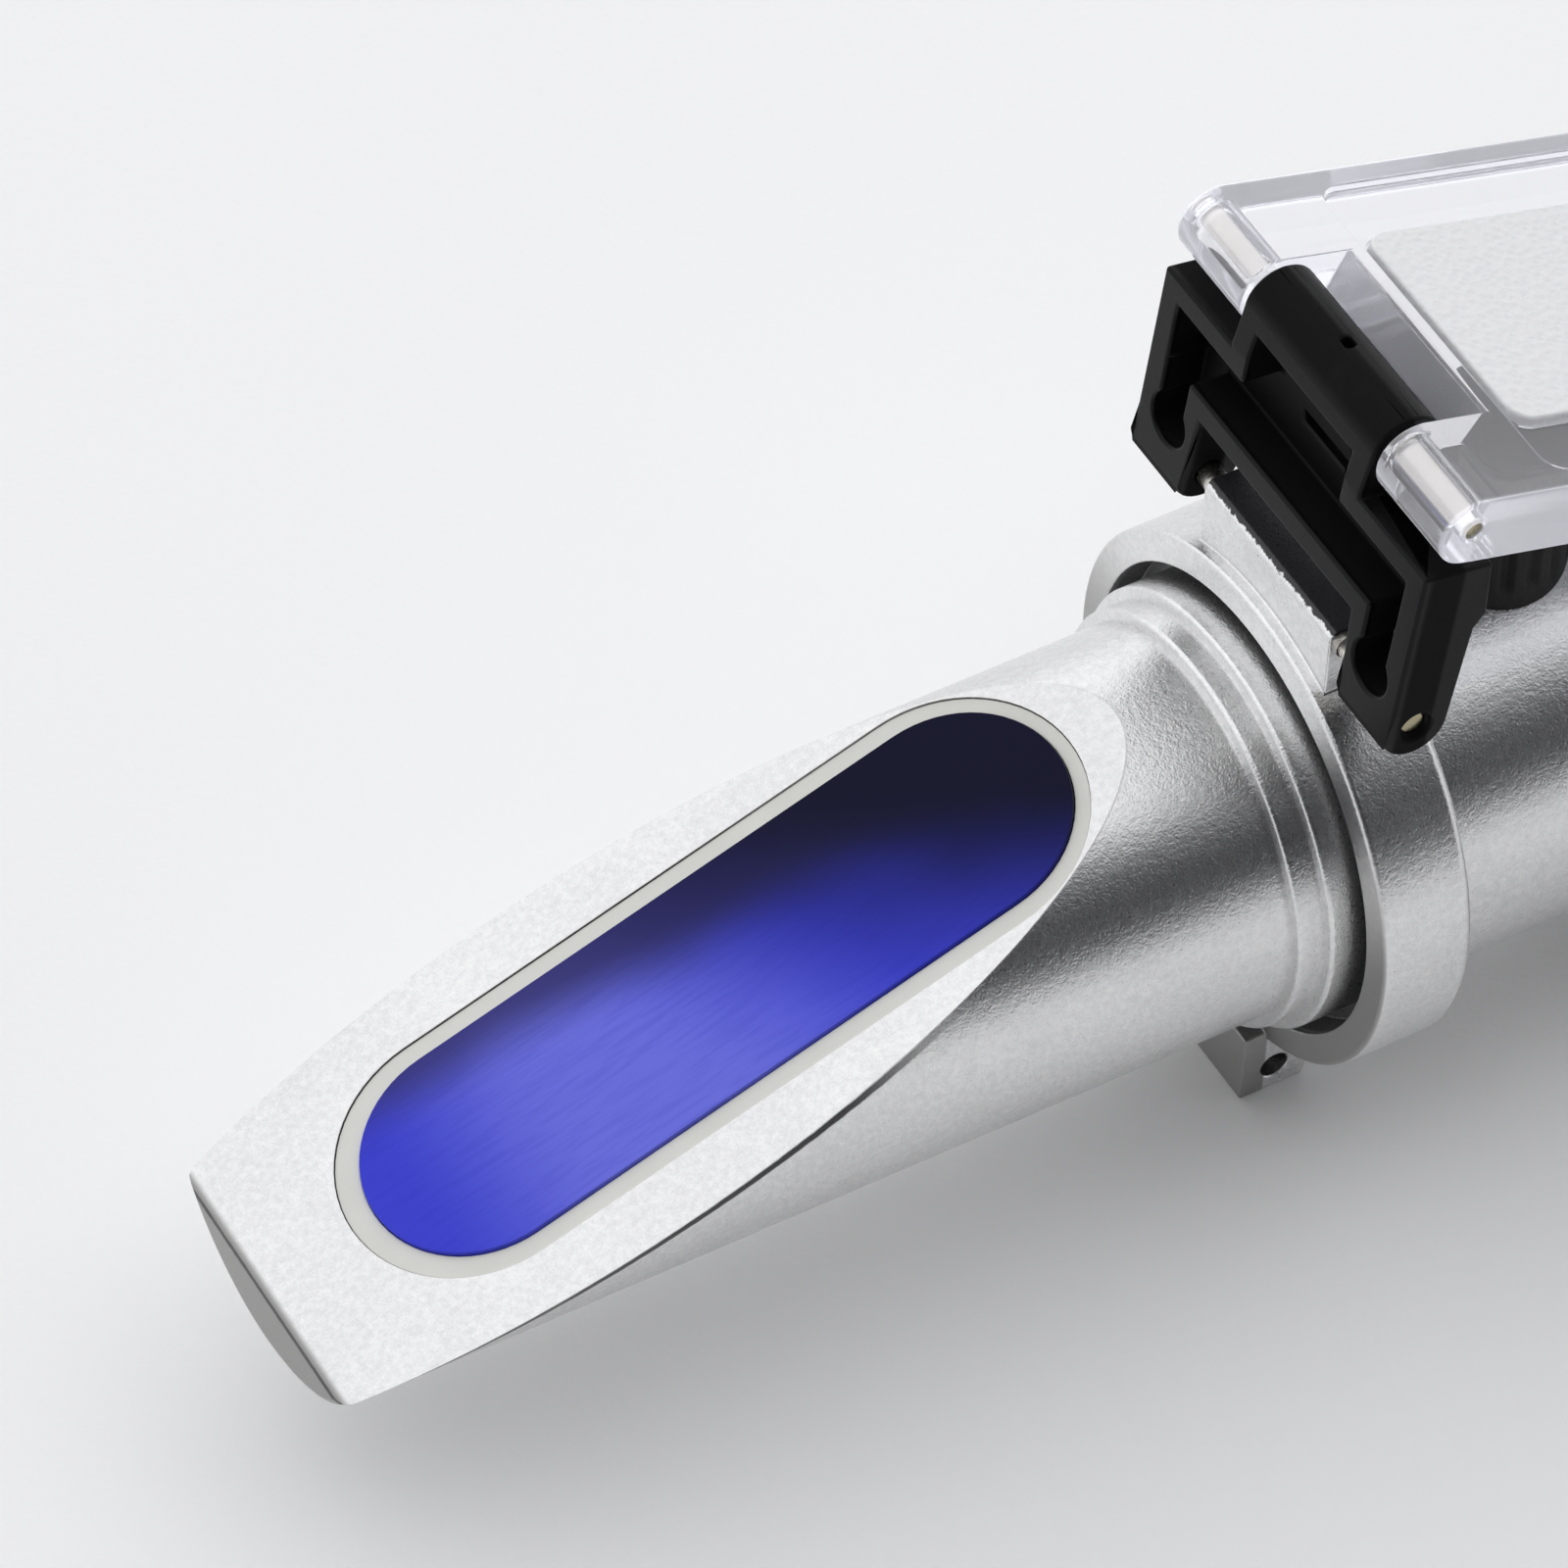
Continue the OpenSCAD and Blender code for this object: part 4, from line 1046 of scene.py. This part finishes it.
print("plastics ready")

# %% Plate sizes, from its pin
tilt = 16.5
plate_len = 44.3 * mm
plate_w = reach("daylight_plate", 1)[1] * 2
plate_half = knuckle_r
plate_rim = 1.3 * mm
plate_sink = 0.5 * mm
notch_half = knuckle_w / 2 + 0.3 * mm
notch_depth = knuckle_r + core_wall - fit
notch_draft = 0.7 * mm
end_bore_r = 0.5 * mm
pad_start = 5.2 * mm
pad_len = 37.6 * mm
pad_w = 14.2 * mm
pad_thick = 1.1 * mm
pad_floor = plate_half - pad_thick - fit
print("plate", plate_len / mm, "by", round(plate_w / mm, 2), "mm")

# %% Model the plate and its pad
plate = outline("cover_plate", [*arc((0, 0), knuckle_r, 90, 270, 32),
    (plate_len, -plate_half), (plate_len, plate_half)], 1, -plate_w, plate_w)
plan = outline("plan", rounded(-wide, plate_len, plate_w, plate_rim, 8), 2, -wide, wide)
carve(plate, plan, way="INTERSECT")
inside = notch_depth + plate_rim
pin_room = cover_half + fit
carve(plate,
    outline("notch", [(-wide, -2 * plate_half), (notch_depth - notch_draft, -2 * plate_half),
        (notch_depth + notch_draft, 2 * plate_half), (-wide, 2 * plate_half)],
        1, -notch_half, notch_half),
    outline("face_cut", rounded(inside, plate_len - plate_rim, plate_w - 2 * plate_rim, plate_rim),
        2, plate_half - plate_sink, wide),
    outline("pad_cut", rounded(pad_start - fit, pad_start + pad_len + fit, pad_w + 2 * fit, plate_rim),
        2, pad_floor, wide),
    crossbar("pin_bore", 0, 0, pin_room, cover_pin_r + running_fit),
    crossbar("end_bore", 0, 0, wide, end_bore_r))
soften(plate, 0.18 * mm)
seat(plate, COVER_PIN, tilt)
finished(plate, "cover", "clear_acrylic", clear_acrylic(plate_w), "daylight_plate")

pad = outline("pad", rounded(pad_start, pad_start + pad_len, pad_w, plate_rim),
    2, pad_floor, pad_floor + pad_thick)
soften(pad, 0.18 * mm)
seat(pad, COVER_PIN, tilt)
finished(pad, "cover", "frosted_plastic", leather_white(), "diffuser_pad")

# %% [markdown]
# ## Rubber parts
# The cap over the calibration screw, the grip and the eyecup are soft black rubber: matt, nearly
# black, with a dusty bloom. Flutes are made by picking every few points of a lathe part's rings and
# pulling them in towards the axis, which keeps the mesh even where a Boolean would not.

# %% Rubber and anodised black
soft_rubber = grained("matt_rubber", (0.14 * mm, 2.0), (6 * mm, 3.0),
    ((0.012, 0.012, 0.012), (0.030, 0.030, 0.031)), (0.58, 0.25), 0.012 * mm,
    Specular_IOR_Level=0.35)
black_anodise = grained("anodised_black", (0.1 * mm, 1.0), (5 * mm, 2.0),
    ((0.014, 0.014, 0.016), (0.028, 0.028, 0.031)), (0.36, 0.12), 0.003 * mm, Metallic=0.6)
print("rubber and black ready")


# %% Flutes
def fluted(piece, teeth, low, high, inner, depth_share):
    """Pulls in the outer points between two distances that lie near the middle of each flute."""
    open_up(piece)
    step = 2 * math.pi / teeth
    pick(piece, lambda p: low <= p.x <= high and math.hypot(p.y, p.z) > inner
         and abs((math.atan2(p.y, p.z) / step) % 1 - 0.5) < 0.2)
    bpy.ops.transform.resize(value=(1, 1 - depth_share, 1 - depth_share), center_override=(0, 0, 0))
    leave()


print("flutes ready")

# %% Model the grip
grip_x, grip_end = span("grip_sleeve")
grip_r = reach("grip_sleeve", 2)[1] - axis_z
band = (grip_end - grip_x) / 12
flute_run = 0.7 * mm
grip_round = 0.5 * mm
grip_edge = grip_r - grip_round
grip_teeth = 36
grip = turned("grip", [(grip_x, tube_r + fit), (grip_x, grip_edge),
    *arc((grip_x + grip_round, grip_edge), grip_round, 170, 90, 5),
    (grip_x + band, grip_r), (grip_x + band + flute_run, grip_r),
    (grip_end - band - flute_run, grip_r), (grip_end - band, grip_r),
    *arc((grip_end - grip_round, grip_edge), grip_round, 90, 10, 5),
    (grip_end, grip_edge), (grip_end, tube_r + fit)], count=8 * grip_teeth, closed=True)
fluted(grip, grip_teeth, grip_x + band + flute_run / 2, grip_end - band - flute_run / 2,
    tube_r + mm, depth_share=0.03)
soften(grip, 0, smooth=50)
seat(grip, BARREL)
finished(grip, "barrel", "black_rubber", soft_rubber, "grip_sleeve")

# %% Model the screw cap
CAP = Vector((middle("screw_cap", 0), 0, 0))
cap_r = half("screw_cap", 0)
cap_base, cap_top = reach("screw_cap", 2)
cap_teeth = 18
cap_wall = 0.8 * mm
cap_hollow = cap_r - cap_wall + fit
cap_dish = 0.15 * mm
cap_rim = ((-0.9, 0), (-0.5, 0), (-0.15, -0.1), (0, -0.4), (0, -1.2), (-0.15, -1.4))
cap = turned("rubber_cap", [(cap_top - cap_wall, 0), (cap_top - cap_wall, cap_hollow),
    (cap_base, cap_hollow), *eased(cap_base, cap_r, ((0, 0), (1.1, 0), (1.6, 0))),
    *eased(cap_top, cap_r, cap_rim), (cap_top - cap_dish, 0)], count=8 * cap_teeth)
fluted(cap, cap_teeth, cap_base + 1.3 * mm, cap_top - 0.6 * mm, cap_hollow + cap_wall / 2,
    depth_share=0.075)
seat(cap, CAP, -90)
carve(cap, rod("saddle", BARREL, BARREL + Vector((collar_end + wide * 2, 0, 0)), tube_r + fit, 160))
soften(cap, 0, smooth=50)
finished(cap, "cap", "black_rubber", soft_rubber, "screw_cap")

# %% [markdown]
# ## Eyepiece
# The eyepiece slides in its socket, with a fluted focusing ring in the middle and the folding rubber
# eyecup at its end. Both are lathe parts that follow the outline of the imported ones, and the ring's
# 48 flutes are pulled in as the grip's were.

# %% Eyepiece sizes
eye_front, eye_end = span("eyepiece_body")
focus_r = reach("eyepiece_body", 1)[1]
socket_end = span("eyepiece_socket")[1]
focus_gap = 2 * mm
focus_len = 10 * mm
focus_x = socket_end + focus_gap
focus_end = focus_x + focus_len
focus_teeth = 48
slide_r = 9.22 * mm
cup_seat_r = 12.2 * mm
groove_low, groove_high = span("glide_ring")
groove_r = slide_r - mm
field_r = reach("field_lens", 1)[1] + fit
lens_r = reach("eye_lens", 1)[1] + fit
seat_share = 0.18
field_low, field_high = span("field_lens")
stop_x = field_high - seat_share * (field_high - field_low)
stop_end = span("lens_spacer")[0]
clear_r = field_r - mm
print("eyepiece", round((eye_end - eye_front) / mm, 1), "mm long")

# %% Model the eyepiece and its focusing ring
chamfer = 0.35 * mm
ring_edge = ((0, -2), (1, -0.5), (2, 0), (3, 0), (4, 0))
other_edge = [(-dx, dr) for dx, dr in reversed(ring_edge)]
eyepiece = turned("eyepiece", [(eye_front, field_r), (eye_front, slide_r - chamfer),
    (eye_front + chamfer, slide_r), (groove_low - running_fit, slide_r),
    (groove_low - running_fit, groove_r), (groove_high + running_fit, groove_r),
    (groove_high + running_fit, slide_r), (focus_x, slide_r),
    *eased(focus_x, focus_r, ring_edge, chamfer), *eased(focus_end, focus_r, other_edge, chamfer),
    (focus_end, cup_seat_r), (eye_end - chamfer, cup_seat_r), (eye_end, cup_seat_r - chamfer),
    (eye_end, lens_r), (stop_end, lens_r), (stop_end, clear_r), (stop_x, clear_r),
    (stop_x, field_r)], count=8 * focus_teeth, closed=True)
fluted(eyepiece, focus_teeth, focus_x + 3.5 * chamfer, focus_end - 3.5 * chamfer,
    cup_seat_r + mm, depth_share=0.028)
soften(eyepiece, 0, smooth=35)
seat(eyepiece, BARREL)
finished(eyepiece, "eyepiece", "black_anodised", black_anodise, "eyepiece_body")

# %% Model the eyecup
cup_x, cup_end = span("eyecup")
cup_r = reach("eyecup", 1)[1]
cup_wall = 1.4 * mm
cup_len = cup_end - cup_x
skin = cup_seat_r + fit
rim = cup_r - cup_wall
waist = skin + cup_wall
web = eye_end + cup_wall
window_r = lens_r - fit - mm
cup_side = ((0.2, waist + chamfer), (0.25, waist + chamfer / 2), (0.30, waist), (0.48, waist),
    (0.54, waist + 0.15 * mm), (0.61, waist + 0.8 * mm), (0.72, rim - cup_wall / 2),
    (0.83, rim + 0.3 * mm), (0.92, cup_r - chamfer), (0.95, cup_r - 0.1 * mm))
eyecup = turned("soft_eyecup", [(cup_x, skin), (cup_x, waist),
    (cup_x + 0.5 * mm, waist + 0.27 * mm), (cup_x + mm, waist + chamfer),
    *[(cup_x + cup_len * share, radius) for share, radius in cup_side],
    *eased(cup_end, cup_r, ((-0.7, 0), (-0.25, -0.1), (0, -0.45))),
    *eased(cup_end, rim, ((0, 0.45), (-0.25, 0.1), (-0.7, -0.1))),
    (cup_x + cup_len * 0.83, rim - cup_wall), *eased(web, 0, ((1, 11.4), (0.2, 10.8), (0, 10.2))),
    *eased(web, window_r, ((0, 0.2), (-0.2, 0))),
    (eye_end + fit, window_r), (eye_end + fit, skin)], closed=True)
soften(eyecup, 0, smooth=45)
seat(eyecup, BARREL)
finished(eyecup, "eyepiece", "black_rubber", soft_rubber, "eyecup")

# %% [markdown]
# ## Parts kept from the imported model
# What lies inside the barrel or hardly shows stays as it was packed, with a finish of its own: the
# brass screw and its bush, the blackened rings, the carriage, the clear lenses and the scale disc.


# %% Finishes for the inner parts
def turned_brass():
    paint = Paint("turned_brass")
    rings = paint.noise(0.05 * mm, 2.0, (0.05, 0.05, 1.0))
    cloudy = paint.noise(1.2 * mm, 3.0)
    return paint.finish(
        Base_Color=paint.blend(cloudy, (0.56, 0.40, 0.16), (0.78, 0.60, 0.28)), Metallic=1.0,
        Roughness=0.24 + rings * 0.18 + cloudy * 0.08, Normal=paint.bump(rings, 0.0008 * mm))


def lens_glass():
    paint = Paint("coated_glass")
    cloudy = paint.noise(5 * mm, 1.0)
    return paint.finish(
        Base_Color=paint.blend(cloudy, (0.93, 0.96, 1.0), (0.97, 0.96, 1.0)),
        Roughness=0.01 + cloudy * 0.02, IOR=1.52, Transmission_Weight=1.0,
        Coat_Weight=0.4 + cloudy * 0.2, Coat_Tint=(0.7, 0.6, 1.0))


def engraved_glass():
    """Clear glass with a ladder of fine dark lines, the scale that the eye reads."""
    paint = Paint("engraved_glass")
    cloudy = paint.noise(5 * mm, 1.0)
    rise = paint.along((0, 0, 1), BARREL) / (0.5 * mm)
    aside = abs(paint.along((0, 1, 0)) / mm)
    rung = rise.math("PINGPONG", rise, 0.5)
    lines = (1 - paint.step(rung, 0.05, 0.09)) * (1 - paint.step(aside, 1.3, 1.35))
    lines = (lines + (1 - paint.step(aside, 0.04, 0.06))) * (1 - paint.step(abs(rise), 10.1, 10.2))
    return paint.finish(
        Base_Color=paint.blend(lines, (0.95, 0.97, 1.0), (0.02, 0.02, 0.03)),
        Roughness=0.01 + cloudy * 0.02, IOR=1.52, Transmission_Weight=1.0)


pale_nylon = grained("pale_nylon", (0.2 * mm, 2.0), (0.2 * mm, 2.0),
    ((0.74, 0.72, 0.66), (0.80, 0.79, 0.74)), (0.4, 0.15), 0.003 * mm, **waxy)
print("inner finishes ready")

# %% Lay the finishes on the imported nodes
finishes = {
    "satin_metal": satin_silver, "pin_steel": steel, "black_rubber": soft_rubber,
    "black_anodised": black_anodise, "black_paint": black, "bare_brass": turned_brass(),
    "pale_plastic": pale_nylon, "lens_glass": lens_glass()}
kept = set()
for node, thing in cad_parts.items():
    for slot in thing.material_slots:
        if slot.material and slot.material.name in finishes:
            slot.material = finishes[slot.material.name]
            kept.add(node)
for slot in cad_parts["reticle_disc"].material_slots:
    slot.material = engraved_glass()
print("finished", len(kept), "packed nodes")
